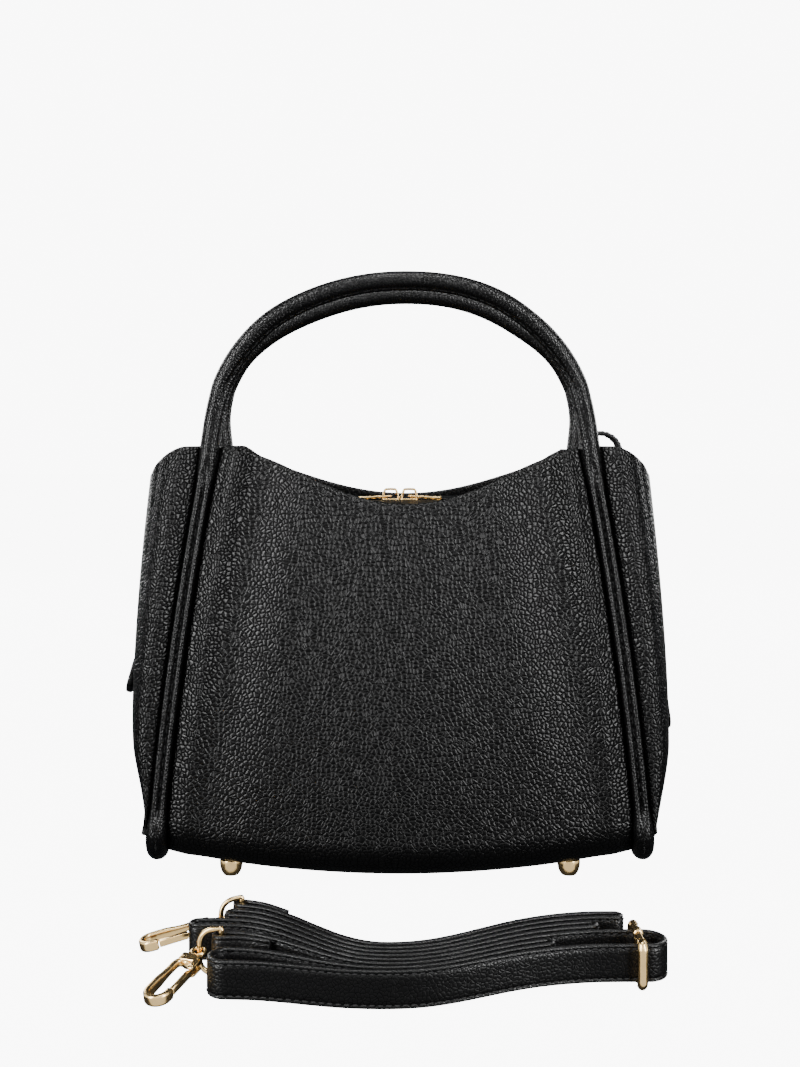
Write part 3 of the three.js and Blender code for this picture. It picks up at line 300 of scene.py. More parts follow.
# Short thread stitches laid along a path, sunk a little into what they hold
def stitches(path, out, pitch, length, radius, lift):
    along, out, across = path_frames(path, out)
    run = lengths(path)
    ring = circle(1, STITCH_SIDES)
    faces = capped(numbers(len(STITCH_SHAPE), STITCH_SIDES))
    sets = []
    for s in np.arange(pitch / 2, run[-1], pitch):
        k = int(np.clip(np.searchsorted(run, s), 1, len(path) - 1))
        centre = path[k] + out[k] * lift
        stations = []
        for share, size, sink in STITCH_SHAPE:
            spot = centre + along[k] * share * length - out[k] * sink * radius
            stations.append(spot + radius * size * (ring[:, :1] * out[k] + ring[:, 1:] * across[k]))
        sets.append((np.concatenate(stations), faces))
    return merged(sets)


# Stitches near both edges of both faces of a flat strip
def strip_stitches(path, out, edge, deep, stitch):
    rows = []
    for shift in (-np.array(edge), np.array(edge)):
        for side in (-1, 1):
            rows.append(stitches(path + shift + out * side * deep, out * side, *stitch))
    return merged(rows)


# Node helpers for procedural finishes
def new_material(name):
    material = bpy.data.materials.new(name)
    material.use_nodes = True
    tree = material.node_tree
    return material, tree, tree.nodes["Principled BSDF"]


def add(tree, kind, **settings):
    node = tree.nodes.new(kind)
    for key, value in settings.items():
        if key in node.inputs:
            node.inputs[key].default_value = value
        else:
            setattr(node, key, value)
    return node


def link(tree, source, target):
    tree.links.new(source, target)


def texture(tree, kind, place, **settings):
    node = add(tree, kind, **settings)
    link(tree, place, node.inputs["Vector"])
    return node


# Flat places on the skin pushed about by a slow noise, so that no pattern runs straight
def warped(tree, noise_scale, amount):
    place = add(tree, "ShaderNodeAttribute", attribute_name="grain").outputs["Vector"]
    noise = texture(tree, "ShaderNodeTexNoise", place, Scale=noise_scale, Detail=2.0)
    centred = math_node(tree, "SUBTRACT", noise.outputs["Color"], (0.5,) * 3, "VectorMath")
    push = math_node(tree, "MULTIPLY", centred, (amount,) * 3, "VectorMath")
    return place, math_node(tree, "ADD", place, push, "VectorMath")


def bumped(tree, shader, height, strength, distance):
    bump = add(tree, "ShaderNodeBump", Strength=strength, Distance=distance)
    link(tree, height, bump.inputs["Height"])
    link(tree, bump.outputs["Normal"], shader.inputs["Normal"])


def ramp(tree, source, low, high, to_low=0.0, to_high=1.0, smooth_step=True):
    kind = "SMOOTHSTEP" if smooth_step else "LINEAR"
    spans = {"From Min": low, "From Max": high, "To Min": to_low, "To Max": to_high}
    node = add(tree, "ShaderNodeMapRange", interpolation_type=kind, **spans)
    link(tree, source, node.inputs["Value"])
    return node.outputs["Result"]


def math_node(tree, operation, a, b, kind="Math"):
    node = add(tree, f"ShaderNode{kind}", operation=operation)
    for socket, value in zip(node.inputs, (a, b)):
        if isinstance(value, (float, tuple)):
            socket.default_value = value
        else:
            link(tree, value, socket)
    return node.outputs[0]


def blend_colour(tree, share, low, high):
    node = add(tree, "ShaderNodeMix", data_type="RGBA")
    # The colour sockets share their names with the number sockets, so they are picked by kind
    colours = [s for s in node.inputs if s.type == "RGBA"]
    colours[0].default_value = (*low, 1)
    colours[1].default_value = (*high, 1)
    link(tree, share, node.inputs["Factor"])
    return [s for s in node.outputs if s.type == "RGBA"][0]


# Pebbled leather: round grains that meet in sharp creases, with finer wrinkles over them
def leather_material(name, grain_mm, relief_mm, rough_low, rough_high, sheen_low, sheen_high):
    material, tree, shader = new_material(name)
    grain = grain_mm * MM
    place, moved = warped(tree, 0.26 / grain, grain * 1.1)
    pattern = {"feature": "DISTANCE_TO_EDGE", "voronoi_dimensions": "2D", "Scale": 1 / grain}
    cells = texture(tree, "ShaderNodeTexVoronoi", moved, **pattern)
    inward = ramp(tree, cells.outputs["Distance"], 0.0, 0.5, smooth_step=False)
    pebble = math_node(tree, "MULTIPLY", inward, math_node(tree, "SUBTRACT", 2.0, inward))
    fine = texture(tree, "ShaderNodeTexNoise", place, Scale=0.9 / grain, Detail=3.0)
    slow = texture(tree, "ShaderNodeTexNoise", place, Scale=55.0, Detail=3.0)
    detail = math_node(tree, "MULTIPLY", fine.outputs["Fac"], 0.3)
    bumped(tree, shader, math_node(tree, "ADD", pebble, detail), 1.0, relief_mm * MM)
    # Painted shade: the base colour is darker down in the creases between the grains and paler on their
    # tops, with a slow random change in tone over it
    crease_shade_and_mottle = math_node(tree, "MULTIPLY", pebble, ramp(tree, slow.outputs["Fac"], 0.3, 0.75, 0.75, 1.0))
    link(tree, blend_colour(tree, crease_shade_and_mottle, BLACK_LOW, BLACK_HIGH), shader.inputs["Base Color"])
    link(tree, ramp(tree, crease_shade_and_mottle, 0.1, 0.9, rough_low, rough_high), shader.inputs["Roughness"])
    # Creases between the grains shade themselves, so they mirror less
    sheen = ramp(tree, cells.outputs["Distance"], 0.0, 0.12, sheen_low, sheen_high)
    link(tree, sheen, shader.inputs["Specular IOR Level"])
    return material


# Polished plate with faint handling marks
def metal_material(name, colour, rough):
    material, tree, shader = new_material(name)
    place = add(tree, "ShaderNodeTexCoord").outputs["Object"]
    haze = texture(tree, "ShaderNodeTexNoise", place, Scale=320.0, Detail=4.0).outputs["Fac"]
    link(tree, ramp(tree, haze, 0.3, 0.75, rough, rough + 0.08), shader.inputs["Roughness"])
    paler = tuple(min(1.0, c * 1.06) for c in colour)
    tint = ramp(tree, haze, 0.35, 0.7)
    link(tree, blend_colour(tree, tint, colour, paler), shader.inputs["Base Color"])
    shader.inputs["Metallic"].default_value = 1.0
    return material


# Woven cloth: two crossing sets of threads
def cloth_material(name, thread_mm, low, high):
    material, tree, shader = new_material(name)
    moved = warped(tree, 300.0, 0.2 * MM)[1]
    scale = 0.314 / (thread_mm * MM)
    sets = []
    for direction in ("X", "Y"):
        wave = texture(tree, "ShaderNodeTexWave", moved, bands_direction=direction, Scale=scale)
        sets.append(wave.outputs["Fac"])
    weave = math_node(tree, "MULTIPLY", math_node(tree, "ADD", *sets), 0.5)
    bumped(tree, shader, weave, 0.6, 0.2 * MM)
    link(tree, blend_colour(tree, weave, low, high), shader.inputs["Base Color"])
    shader.inputs["Roughness"].default_value = 0.85
    return material


# Leather blacks: the darker one is painted shade for the creases, the paler one is for the grain tops
BLACK_LOW = (0.0006, 0.0006, 0.0006)
BLACK_HIGH = (0.0032, 0.0032, 0.0034)
LEATHER = leather_material("pebbled_leather", 2.15, 0.24, 0.40, 0.29, 0.04, 0.38)
ROLL_LEATHER = leather_material("rolled_leather", 1.7, 0.14, 0.36, 0.27, 0.08, 0.48)
STRAP_LEATHER = leather_material("strap_leather", 1.6, 0.09, 0.42, 0.34, 0.15, 0.6)
THREAD = cloth_material("thread", 0.3, (0.006, 0.006, 0.006), (0.03, 0.03, 0.031))
LINING = cloth_material("lining_cloth", 0.7, (0.006, 0.0055, 0.005), (0.02, 0.019, 0.018))
TAPE = cloth_material("zip_tape", 0.6, (0.003, 0.003, 0.0033), (0.012, 0.012, 0.0125))
BOARD = cloth_material("stiff_board", 1.5, (0.06, 0.045, 0.034), (0.09, 0.07, 0.055))
GOLD = metal_material("pale_gold", (0.80, 0.56, 0.25), 0.17)

# Bag body, as in the solids: seam line, rim, base sag, face depth and folded side
RIM, DIP, SIDE_DIP, FOOT = 212.0, 26.5, 16.0, 12.0
RIM_X, BASE_X, RIM_Y, BASE_Y = 95.0, 119.0, 35.0, 60.0
BASE_Z, BASE_LIFT, BASE_ROLL = 3.1, 10.4, 17.0
BULGE, PINCH, SOFT = 6.0, 2.0, 5.0
ROLL, CLEAR, CORNER, BOW = 5.0, 5.3, 12.0, 4.0
SIDE_X, SIDE_Z, SIDE_IN, FOOT_IN = 135.6, 65.0, 7.8, 13.5
FOLD, FOLD_Z, FOLD_HIGH, SHOULDER = 23.0, 96.0, 100.0, 11.0
TUCK_IN, TUCK_BACK = 4.2, 5.0
SKIN = 2.0


def up_seam(z):
    return clamp01((z - FOOT) / (RIM - FOOT))


def seam_x(z):
    up = up_seam(z)
    return BASE_X - (BASE_X - RIM_X) * (0.55 * up + 0.45 * up * up)


def seam_y(z):
    return BASE_Y - (BASE_Y - RIM_Y) * up_seam(z) ** 1.2


# Rims dip in the middle, a little to the right; the front hangs lower there, the back beside it
def face_rim(x, side):
    off = x - 3.0 * side
    away = clamp01((off / (RIM_X - CLEAR)) ** 2)
    sag = 2.4 * (1 - away**2) if side > 0 else 24.0 * away * (1 - away)
    return RIM - DIP * (1 + np.cos(np.pi * off / RIM_X)) / 2 - sag


def base_z(x):
    return BASE_Z + BASE_LIFT * (x / BASE_X) ** 2


def panel_depth(share, z):
    up = up_seam(z)
    crown = (BULGE * (1 - up * up) - PINCH * up * up) * (1 - share * share)
    inset = (1 - np.abs(share)) * (seam_x(z) - CLEAR)
    roll = SOFT * up**0.6 * hump(inset, 8.5, 5.5)
    hollow = 2.4 * up * hump(inset, 25.0, 9.0)
    swell = 2.2 * up**0.8 * hump(inset, 46.0, 13.0)
    return seam_y(z) + crown + roll - hollow + swell


# Slow dents and swells of soft leather, the same every run
def soft_waves(x, z, seed):
    rng = np.random.default_rng(seed)
    total = np.zeros(np.broadcast(x, z).shape)
    for _ in range(9):
        kx, kz = rng.uniform(-0.05, 0.05), rng.uniform(-0.035, 0.035)
        total = total + rng.uniform(0.3, 1) * np.sin(kx * x + kz * z + rng.uniform(0, 6.3))
    return total / 9


# Shares across a skin, held at its seams, and how far each goes on beyond them under the run
def tucked(columns):
    tuck = np.array([1.0, 0.75, 0.5, 0.25])
    share = np.concatenate([-1 - tuck, np.linspace(-1, 1, columns), 1 + tuck[::-1]])
    held = np.clip(share, -1, 1)
    return held, np.abs(share) - np.abs(held)


# Front and back faces: they tuck in under the rolled run at both sides and roll under at the base
def panel_grid(seed, side, columns=170, face_rows=120, roll_rows=16):
    held, beyond = tucked(columns)
    roll_top = base_z(held * (seam_x(BASE_Z) - CLEAR)) + BASE_ROLL
    top = face_rim(held * (seam_x(RIM) - CLEAR), side)
    t = np.linspace(0, 1, face_rows)[:, None]
    z_face = top + (roll_top - top) * t
    edge = seam_x(z_face) - CLEAR
    fade = np.sin(np.pi * clamp01(t)) ** 0.7 * (1 - held**2)
    wave = 1.1 * soft_waves(held * edge, z_face, seed) * fade
    y_face = panel_depth(held, z_face) + wave
    turn = np.linspace(0, np.pi / 2, roll_rows + 1)[1:, None]
    z_roll = roll_top - BASE_ROLL * np.sin(turn)
    y_roll = panel_depth(held, roll_top) - BASE_ROLL * (1 - np.cos(turn))
    z = np.concatenate([z_face, z_roll])
    y = np.concatenate([y_face, y_roll]) - TUCK_BACK * beyond**0.7
    x = held * (seam_x(z) - CLEAR) + np.sign(held) * TUCK_IN * beyond
    return np.stack([x, -y, z], axis=-1)


def side_x(z):
    above = np.maximum(0, (z - SIDE_Z) / (RIM - SIDE_Z))
    below = np.maximum(0, (SIDE_Z - z) / (SIDE_Z - FOOT - ROLL))
    return SIDE_X - SIDE_IN * above**2 - FOOT_IN * below**1.6


# How far down the sides are drawn in, as a share of the most
def low_draw(z):
    return hump(z, 40.0, 24.0)


def gusset_x(y, z):
    across = clamp01(np.abs(y) / seam_y(z))
    square = (1 - across**4) ** 0.25
    fold = FOLD * smooth((z - FOLD_Z) / FOLD_HIGH) * np.cos(np.pi / 2 * clamp01(across / 0.75)) ** 2
    edge = seam_x(z) + CLEAR
    return edge + (side_x(z) - edge) * square - fold


# Sides: square corners stand at the rim, a fold is drawn in between, edges are tucked under the run
def gusset_grid(seed, drawn, columns=120, rows=90):
    held, beyond = tucked(columns)
    angle = np.pi / 2 * (1 - smooth(1 - np.abs(held)))
    across = np.sqrt(np.sin(angle))
    square = np.sqrt(np.cos(angle))
    corner = CORNER * 0.67 * clamp01((across - 0.7) / 0.3) ** 2
    foot = FOOT + ROLL + 0.6 + corner
    shoulder = SHOULDER * clamp01((square - 0.22) / 0.66) ** 2
    rim = RIM - shoulder - (SIDE_DIP - SHOULDER) * smooth((square - 0.8) / 0.2)
    down = np.linspace(0, 1, rows)[:, None]
    z = rim + (foot - rim) * down
    roll = SOFT * up_seam(z) * np.sin(np.pi * clamp01(square / 0.75))
    flat_y = np.sign(held) * across * seam_y(z)
    wave = 0.9 * soft_waves(flat_y, z, seed) * np.sin(np.pi * down) ** 0.7 * square
    x = gusset_x(flat_y, z) - TUCK_IN * beyond + wave - drawn * square * low_draw(z)
    y = flat_y + np.sign(held) * (roll - TUCK_BACK * beyond**0.7)
    return np.stack([x, y, z], axis=-1)


# Each skin with its seed; the left side is drawn in more than the right
SKINS = (
    ("front_face", panel_grid(3, 1), STRAIGHT, "front_panel"),
    ("back_face", panel_grid(4, -1), HALF_TURN, "back_panel"),
    ("side_right", gusset_grid(5, 0.8), STRAIGHT, "gusset_right"),
    ("side_left", gusset_grid(6, 3.6), HALF_TURN, "gusset_left"),
)
for name, grid, turn, node in SKINS:
    make(name, shell(grid, SKIN), LEATHER, "bag", [node], grain=shell_grain(grid), turn=turn)


# Stitched fold along the front and back rims; a stitch has a pitch, length, radius and lift
FACES = (("front", 1), ("back", -1))
RIM_STITCH = (3.2, 2.4, 0.3, -0.85)


def rim_line(side):
    held = np.linspace(-0.97, 0.97, 220)
    x = held * (seam_x(RIM) - CLEAR)
    z = face_rim(x, side) - 3.4
    return np.stack([held * (seam_x(z) - CLEAR), -panel_depth(held, z) - SKIN / 2, z], axis=1)


for name, side in FACES:
    thread = stitches(rim_line(side), (0, -1, 0), *RIM_STITCH)
    make(f"rim_thread_{name}", thread, THREAD, "bag", turn=TURNS[name])


# Base between the rolled edges
FLAT_END = seam_y(FOOT + CORNER) - CORNER


def run_x(y):
    return seam_x(FOOT) + BOW * (1 - (y / FLAT_END) ** 2)


def base_grid(rows=40, columns=90):
    share = np.linspace(-1, 1, columns)[None]
    t = np.linspace(-1, 1, rows)[:, None]
    roll_top = base_z(share * (seam_x(BASE_Z) - CLEAR)) + BASE_ROLL
    y = t * (panel_depth(share, roll_top) - BASE_ROLL - 0.8)
    x = share * (run_x(y) - CLEAR)
    return np.stack([x, y, base_z(x)], axis=-1)


make("base_skin", shell(base_grid(), SKIN), LEATHER, "bag", ["base_panel"])


# Rolled handles: one tube from under a side, up the seam, over the arch and down to the other side
HANDLE_RISE, HANDLE_POWER, FOOT_RISE = 84.0, 2.15, 2.6
BEND_REACH = 0.012
RUN_STITCH, ARCH_STITCH = (3.3, 2.5, 0.42, 1.65), (3.3, 2.5, 0.36, 4.1)


def tube_half():
    y = np.linspace(0, -FLAT_END, 12)
    under = np.stack([run_x(y), y, np.full_like(y, FOOT)], axis=1)
    turn = np.radians([75, 60, 45, 30, 15])
    z = FOOT + CORNER - CORNER * np.sin(turn)
    bend = np.stack([seam_x(z), -FLAT_END - CORNER * np.cos(turn), z], axis=1)
    z = np.linspace(FOOT + CORNER, RIM - 4, 30)
    face = np.stack([seam_x(z), -seam_y(z), z], axis=1)
    half = np.concatenate([under, bend, face])
    half[:, 2] += FOOT_RISE * smooth((40 - half[:, 2]) / 28)
    return half


def tube_path(lean, splay):
    angle = np.radians(np.linspace(4, 176, 44))
    bend = 2 / HANDLE_POWER
    x = RIM_X * np.sign(np.cos(angle)) * np.abs(np.cos(angle)) ** bend
    z = RIM + HANDLE_RISE * np.abs(np.sin(angle)) ** bend
    x = x + splay * np.sign(x) * smooth((z - RIM) / 12) * (1 - smooth((z - RIM - 45) / 38))
    x = x + lean * smooth((z - RIM - 62) / 24)
    arch = np.stack([x, np.full_like(x, -RIM_Y), z], axis=1)
    right = tube_half()
    left = right * [-1, 1, 1]
    path = smooth_path(np.concatenate([right, arch, left[::-1]]), 2.0)
    # Eases the bend where the tube leaves the rim
    near = (np.abs(path[:, 2] - RIM) < 30)[:, None]
    for _ in range(60):
        eased = path.copy()
        eased[1:-1] = (path[:-2] + 2 * path[1:-1] + path[2:]) / 4
        path = np.where(near, eased, path)
    return path


# The stitched groove faces out along the seam and turns to the inner side over the arch
def tube_groove(path):
    along = unit(np.gradient(path, axis=0))
    front = np.broadcast_to([0.0, -1.0, 0.0], path.shape)
    inward = np.cross(along, [0.0, 1.0, 0.0]) * [1, 0, 1]
    inward = unit(inward * np.sign(np.sum(inward * ([0, 0, RIM] - path), axis=1, keepdims=True)))
    lean = (np.radians(70) * smooth((path[:, 2] - RIM) / 64))[:, None]
    out = np.cos(lean) * front + np.sin(lean) * inward
    low = smooth((36 - path[:, 2]) / 24)[:, None]
    return unit(out * (1 - low) + low * np.array([0.0, 0.0, -1.0]))


def tube_section(path, sides=48):
    angle = full_turn(sides)
    away = np.minimum(angle, 2 * np.pi - angle)
    z = path[:, 2:3]
    sunk = smooth((RIM - 2 - z) / 26) * smooth((z - 24) / 16)
    arch = smooth((z - RIM) / 40)
    groove = (3.5 * sunk + 1.0 * arch) * hump(away, 0, 0.36)
    waist = 1.6 * sunk * hump(away, np.pi / 2, 0.75)
    return (ROLL - groove - waist)[..., None] * circle(1, sides)


# Thread in the groove of the runs, and along the inner side of the arches
def run_threads(tube):
    x, z = tube[:, 0], tube[:, 2]
    run = (z > 42) & (z < RIM - 6)
    sets = []
    for keep in (run & (x > 0), run & (x < 0)):
        sets.append(stitches(tube[keep], tube_groove(tube)[keep], *RUN_STITCH))
    return merged(sets)


def arch_threads(tube):
    keep = tube[:, 2] > RIM + 16
    return stitches(tube[keep], tube_groove(tube)[keep], *ARCH_STITCH)


# Both arches lean a little to the right, and the back one stands wider
TUBES = {"front": tube_path(3.4, 0.0), "back": tube_path(-3.6, 7.0)}
for name, tube in TUBES.items():
    body, turn = f"{name}_handle", TURNS[name]
    section = tube_section(tube)
    form, flat = sweep(tube, section, tube_groove(tube)), sweep_grain(tube, section)
    nodes = [f"handle_{name}", "handle_run_left", "handle_run_right"]
    piece = make(f"rolled_handle_{name}", form, ROLL_LEATHER, None, nodes, grain=flat, turn=turn)
    x, y, z = JOINTS[f"{body}_bend"]["pos_m"]
    start, end = (x, y, z - BEND_REACH), (x, y, z + BEND_REACH)
    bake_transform(piece)
for name, tube in TUBES.items():
    make(f"run_thread_{name}", run_threads(tube), THREAD, "bag", turn=TURNS[name])
    make(f"arch_thread_{name}", arch_threads(tube), THREAD, f"{name}_handle", turn=TURNS[name])


# Feet: a smooth dome on a collar, with a stem through the base
FOOT_X, FOOT_Y, FOOT_RADIUS, FOOT_DOME = 84.0, 41.5, 5.65, 7.4


def foot_profile():
    top = base_z(FOOT_X - FOOT_RADIUS) - 0.3
    turn = np.linspace(0.6, 1.8, 22)
    radius, high = FOOT_RADIUS * np.sin(turn) ** 0.8, FOOT_DOME * (math.cos(0.6) - np.cos(turn))
    collar = [(4.6, high[-1] + 0.5), (4.4, top + 1)]
    stem = [(1.5, top + 1), (1.5, top + 6), (0, top + 6)]
    return [(0, 0), *zip(radius, high), *collar, *stem]


for across, sx in (("left", -1), ("right", 1)):
    for depth, sy in (("front", -1), ("back", 1)):
        dome = turned(foot_profile(), [FOOT_X * sx, FOOT_Y * sy, 0])
        spot = f"{depth}_{across}"
        make(f"dome_{spot}", dome, GOLD, "bag", [f"foot_{spot}"])


# Strap lanes, numbered from the back: they pinch at the waist and spread to both ends
STRAP_WIDTH, STRAP, WIRE = 15.0, 2.6, 1.1
WAIST_X, WAIST_Y, WAIST_PITCH = -5.0, -183.4, 3.9
LEFT_X, LEFT_Y, LEFT_OFFSETS = -70.0, -165.0, (31, 25, 19.5, 14, 8, 0, -17, -30)
RIGHT_X, RIGHT_Y, RIGHT_PITCH = 85.0, -161.0, 5.1
RING_HUG = WIRE + 0.3 + STRAP / 2
RING_BACK_X, RING_FRONT_X, END_LAP = -68.0, -72.0, 20.0
# Lanes in the order that the strap takes them, and where each one ends
ROUTE = ((1, 90), (2, -70), (3, 78), (4, -83), (5, 98), (8, -67), (7, 58), (6, RING_FRONT_X))


def lane_y(lane, x):
    left = LEFT_Y + LEFT_OFFSETS[lane - 1]
    waist = WAIST_Y + (4.5 - lane) * WAIST_PITCH
    right = RIGHT_Y + (4.5 - lane) * RIGHT_PITCH
    if x < WAIST_X:
        return waist + (left - waist) * smooth((WAIST_X - x) / (WAIST_X - LEFT_X))
    return waist + (right - waist) * smooth((x - WAIST_X) / (RIGHT_X - WAIST_X))


def strap_point(x, y):
    rise = (2 * WIRE + 0.6) * smooth(abs(x - WAIST_X) / 55 - 0.1)
    return [x, y, rise + STRAP_WIDTH / 2]


def lane_run(lane, start, end):
    steps = max(2, round(abs(end - start) / 11))
    return [strap_point(x, lane_y(lane, x)) for x in np.linspace(start, end, steps + 1)]


def half_turn(x, start_y, end_y, reach, steps):
    middle, half = (start_y + end_y) / 2, (start_y - end_y) / 2
    angles = math.pi * np.arange(1, steps + 1) / (steps + 1)
    return [strap_point(x + reach * math.sin(a), middle + half * math.cos(a)) for a in angles]


def turn_between(lane, other, x):
    start, end = lane_y(lane, x), lane_y(other, x)
    apart = abs(start - end)
    return half_turn(x, start, end, np.sign(x) * apart / 2, 7 if apart > 10 else 5)


def end_lap(lane, x, side):
    lap = []
    for t in (0, 0.5, 1):
        back = x + END_LAP * (1 - t)
        lap.append(strap_point(back, lane_y(lane, back) + side * (RING_HUG * 2 - 1.8 * (1 - t))))
    y = lane_y(lane, x)
    return lap + half_turn(x, y + side * 2 * RING_HUG, y, -RING_HUG, 5)


def strap_route():
    x = RING_BACK_X
    route = end_lap(1, x, 1)
    for (lane, end), (other, _) in zip(ROUTE, ROUTE[1:]):
        route += lane_run(lane, x, end) + turn_between(lane, other, end)
        x = end
    lane, end = ROUTE[-1]
    return np.array(route + lane_run(lane, x, end) + end_lap(lane, end, -1)[::-1])


# Strap section: soft faces, a sunk stitch line near each edge and rounded edges
STITCH_LINE, STRAP_STEP = 5.9, 1.6
STRAP_STITCH = (3.2, 2.2, 0.36, 0.12)


def strap_section():
    half = np.array([7.5, 7.42, 7.2, 6.85, 6.4, 6.1, 5.9, 5.7, 5.4, 4.6, 3.0, 1.2])
    thick = STRAP / 2 - 0.05 - 0.3 * hump(half, STITCH_LINE, 0.5)
    thick = thick * np.sqrt(np.maximum(0, 1 - clamp01((half - 6.4) / 1.1) ** 2.5)) + 0.02
    width = np.concatenate([half, -half[::-1]])
    depth = np.concatenate([thick, thick[::-1]])
    front = np.stack([width, depth], axis=1)
    return np.concatenate([front, front[::-1] * [1, -1]])


STRAP_PATH = smooth_path(strap_route(), STRAP_STEP)
flat = sweep_grain(STRAP_PATH, strap_section())
band = sweep(STRAP_PATH, strap_section(), UP)
make("strap", band, STRAP_LEATHER, "strap", ["strap_band"], grain=flat)
strap_across = path_frames(STRAP_PATH, UP)[2]
# The stitching stops short of the laps, so that the rings turn clear of it
lap_steps = int((END_LAP + 4 * RING_HUG + 4) / STRAP_STEP)
stitched = slice(lap_steps, -lap_steps)
line, out = STRAP_PATH[stitched], strap_across[stitched]
thread = strip_stitches(line, out, (0, 0, STITCH_LINE), STRAP / 2 - 0.3, STRAP_STITCH)
make("strap_stitching", thread, THREAD, "strap")


# Strap hardware is built in its own frame, read from the joints, and set in place
def joint_spot(name):
    return np.array(JOINTS[name]["pos_m"]) / MM - SHIFT


def set_in(form, origin, ex, ez):
    ex, ez = unit(ex), unit(ez)
    axes = np.array([ex, np.cross(ez, ex), ez])
    return np.asarray(form[0]) @ axes + origin, form[1]


# D ring: a straight bar in the strap's lap and a bow that the hook hangs on
def ring_mesh():
    high = STRAP_WIDTH / 2 + 0.6 + WIRE
    bar = [(0, 0, high * t) for t in (-0.8, 0, 0.8)]
    angle = np.pi * (0.5 - np.linspace(0, 1, 25))
    rise = np.sign(angle) * np.abs(np.sin(angle)) ** 0.6
    bow = [(9.0 * max(0, math.cos(a)) ** 0.8, 0, high * r) for a, r in zip(angle, rise)]
    path = smooth_path(bar + bow, 0.6, True)
    return sweep(path, circle(WIRE, 18), (0, 1, 0), True)


# Swivel: an eye round the ring's bow, a post and a rivet head inside the hook
EYE_CENTRE, EYE_RADIUS, EYE_TUBE = 0.5, 2.7, 0.9
HEAD_START, HEAD_END, HOOK_END = 4.7, 9.3, 35.0
PIVOT_X, PIVOT_Y, EAR_END, NOSE_START = 12.1, 4.4, 14.1, 27.2


def along_x(profile, sides=28):
    points, faces = turned(profile, [0, 0, 0], sides)
    return points[:, [2, 0, 1]], faces


def swivel_mesh():
    path = np.column_stack([circle(EYE_RADIUS, 40) + [EYE_CENTRE, 0], np.zeros(40)])
    eye = sweep(path, circle(EYE_TUBE, 14), UP, True)
    start = EYE_CENTRE + EYE_RADIUS
    collar = [(0, start), (1.2, start), (1.75, start + 0.9), (1.75, start + 1.4), (1.2, start + 1.5)]
    rivet = [(1.2, HEAD_END + 0.3), (2.0, HEAD_END + 0.3), (1.9, HEAD_END + 0.8), (1.2, HEAD_END + 1.25)]
    return merged([eye, along_x(collar + rivet + [(0, HEAD_END + 1.3)])])


# A bar along X whose section swells or narrows by the given shares
def bar_x(stations, half_z, half_y, radius, y=0.0, z=0.0):
    path = np.array([[x, y, z] for x, _, _ in stations])
    section = rounded(half_z, half_y, radius)
    scaled = np.stack([section * [sz, sy] for _, sz, sy in stations])
    return sweep(path, scaled, UP)


# Hook: a bent flat bar from the nose round the tip and back to a bored head with two ears
def hook_mesh():
    side = PIVOT_Y
    tip = HOOK_END - 5.6
    heel = 11.8
    nose = [(x, side) for x in np.linspace(NOSE_START, tip, 4)[:-1]]
    bend = arc(tip, 0, side, 90, -90, 25)
    back = [(x, -side) for x in np.linspace(tip, heel, 9)[1:]]
    shoulder = arc(heel, 0, side, 270, 195, 9)[1:]
    path = smooth_path([(x, y, 0) for x, y in nose + bend + back + shoulder], 0.7)
    widen = 1 + 0.5 * smooth((path[:, 0] - 16.0) / 9.0)
    section = rounded(1.5, 1.3, 0.75)[None] * np.stack([widen, np.ones_like(widen)], axis=1)[:, None]
    ends = clamp01((np.arange(len(path)) + 1.5) / 2.5)
    frame_bar = sweep(path, section * np.sqrt(ends)[:, None, None], UP)
    edge = ((0, 0.78, 0.86), (0.25, 0.92, 0.96), (0.7, 1, 1))
    grow = [(HEAD_START + x, *size) for x, *size in edge]
    shrink = [(HEAD_END - x, *size) for x, *size in edge[::-1]]
    head = bar_x(grow + shrink, 2.2, 4.2, 1.0)
    ears = []
    for z in (-1.65, 1.65):
        stations = [(8.0, 0.8, 0.9), (8.4, 1, 1), (EAR_END - 0.8, 1, 1), (EAR_END, 0.7, 0.6)]
        ears.append(bar_x(stations, 0.55, 1.5, 0.4, PIVOT_Y, z))
    return merged([frame_bar, head, *ears])


def gate_mesh():
    x = [PIVOT_X - 1.5, PIVOT_X - 1.2, EAR_END + 0.4, EAR_END + 0.9, NOSE_START - 0.7, NOSE_START - 0.3]
    share = [(0.4, 0.6), (0.53, 1), (0.53, 1), (1, 1), (1, 1), (0.8, 0.8)]
    return bar_x([(a, *s) for a, s in zip(x, share)], 1.5, 1.0, 0.5, PIVOT_Y)


def pin_mesh():
    half = [(0, 2.35), (0.9, 2.3), (1.0, 2.15), (0.7, 2.1)]
    profile = [(r, -z) for r, z in half] + half[::-1]
    return turned(profile, [PIVOT_X, PIVOT_Y, 0], 24)


for end in ("back", "front"):
    ring, eye = joint_spot(f"{end}_ring_turn"), joint_spot(f"{end}_swivel_yaw")
    spin = np.array(JOINTS[f"{end}_hook_spin"]["axis"])
    upright = -np.array(JOINTS[f"{end}_gate_open"]["axis"])
    hung = (eye, spin, upright)
    pieces = (
        ("ring", ring_mesh(), (ring, eye - ring, UP), "ring", "strap_ring"),
        ("swivel", swivel_mesh(), hung, "swivel", "hook_swivel"),
        ("hook", hook_mesh(), hung, "hook", "hook_frame"),
        ("gate", gate_mesh(), hung, "gate", "hook_gate"),
        ("gate_pin", pin_mesh(), hung, "hook", "hook_gate_pin"),
    )
    for name, form, place, body, node in pieces:
        make(f"{name}_{end}", set_in(form, *place), GOLD, f"{end}_{body}", [f"{node}_{end}"])


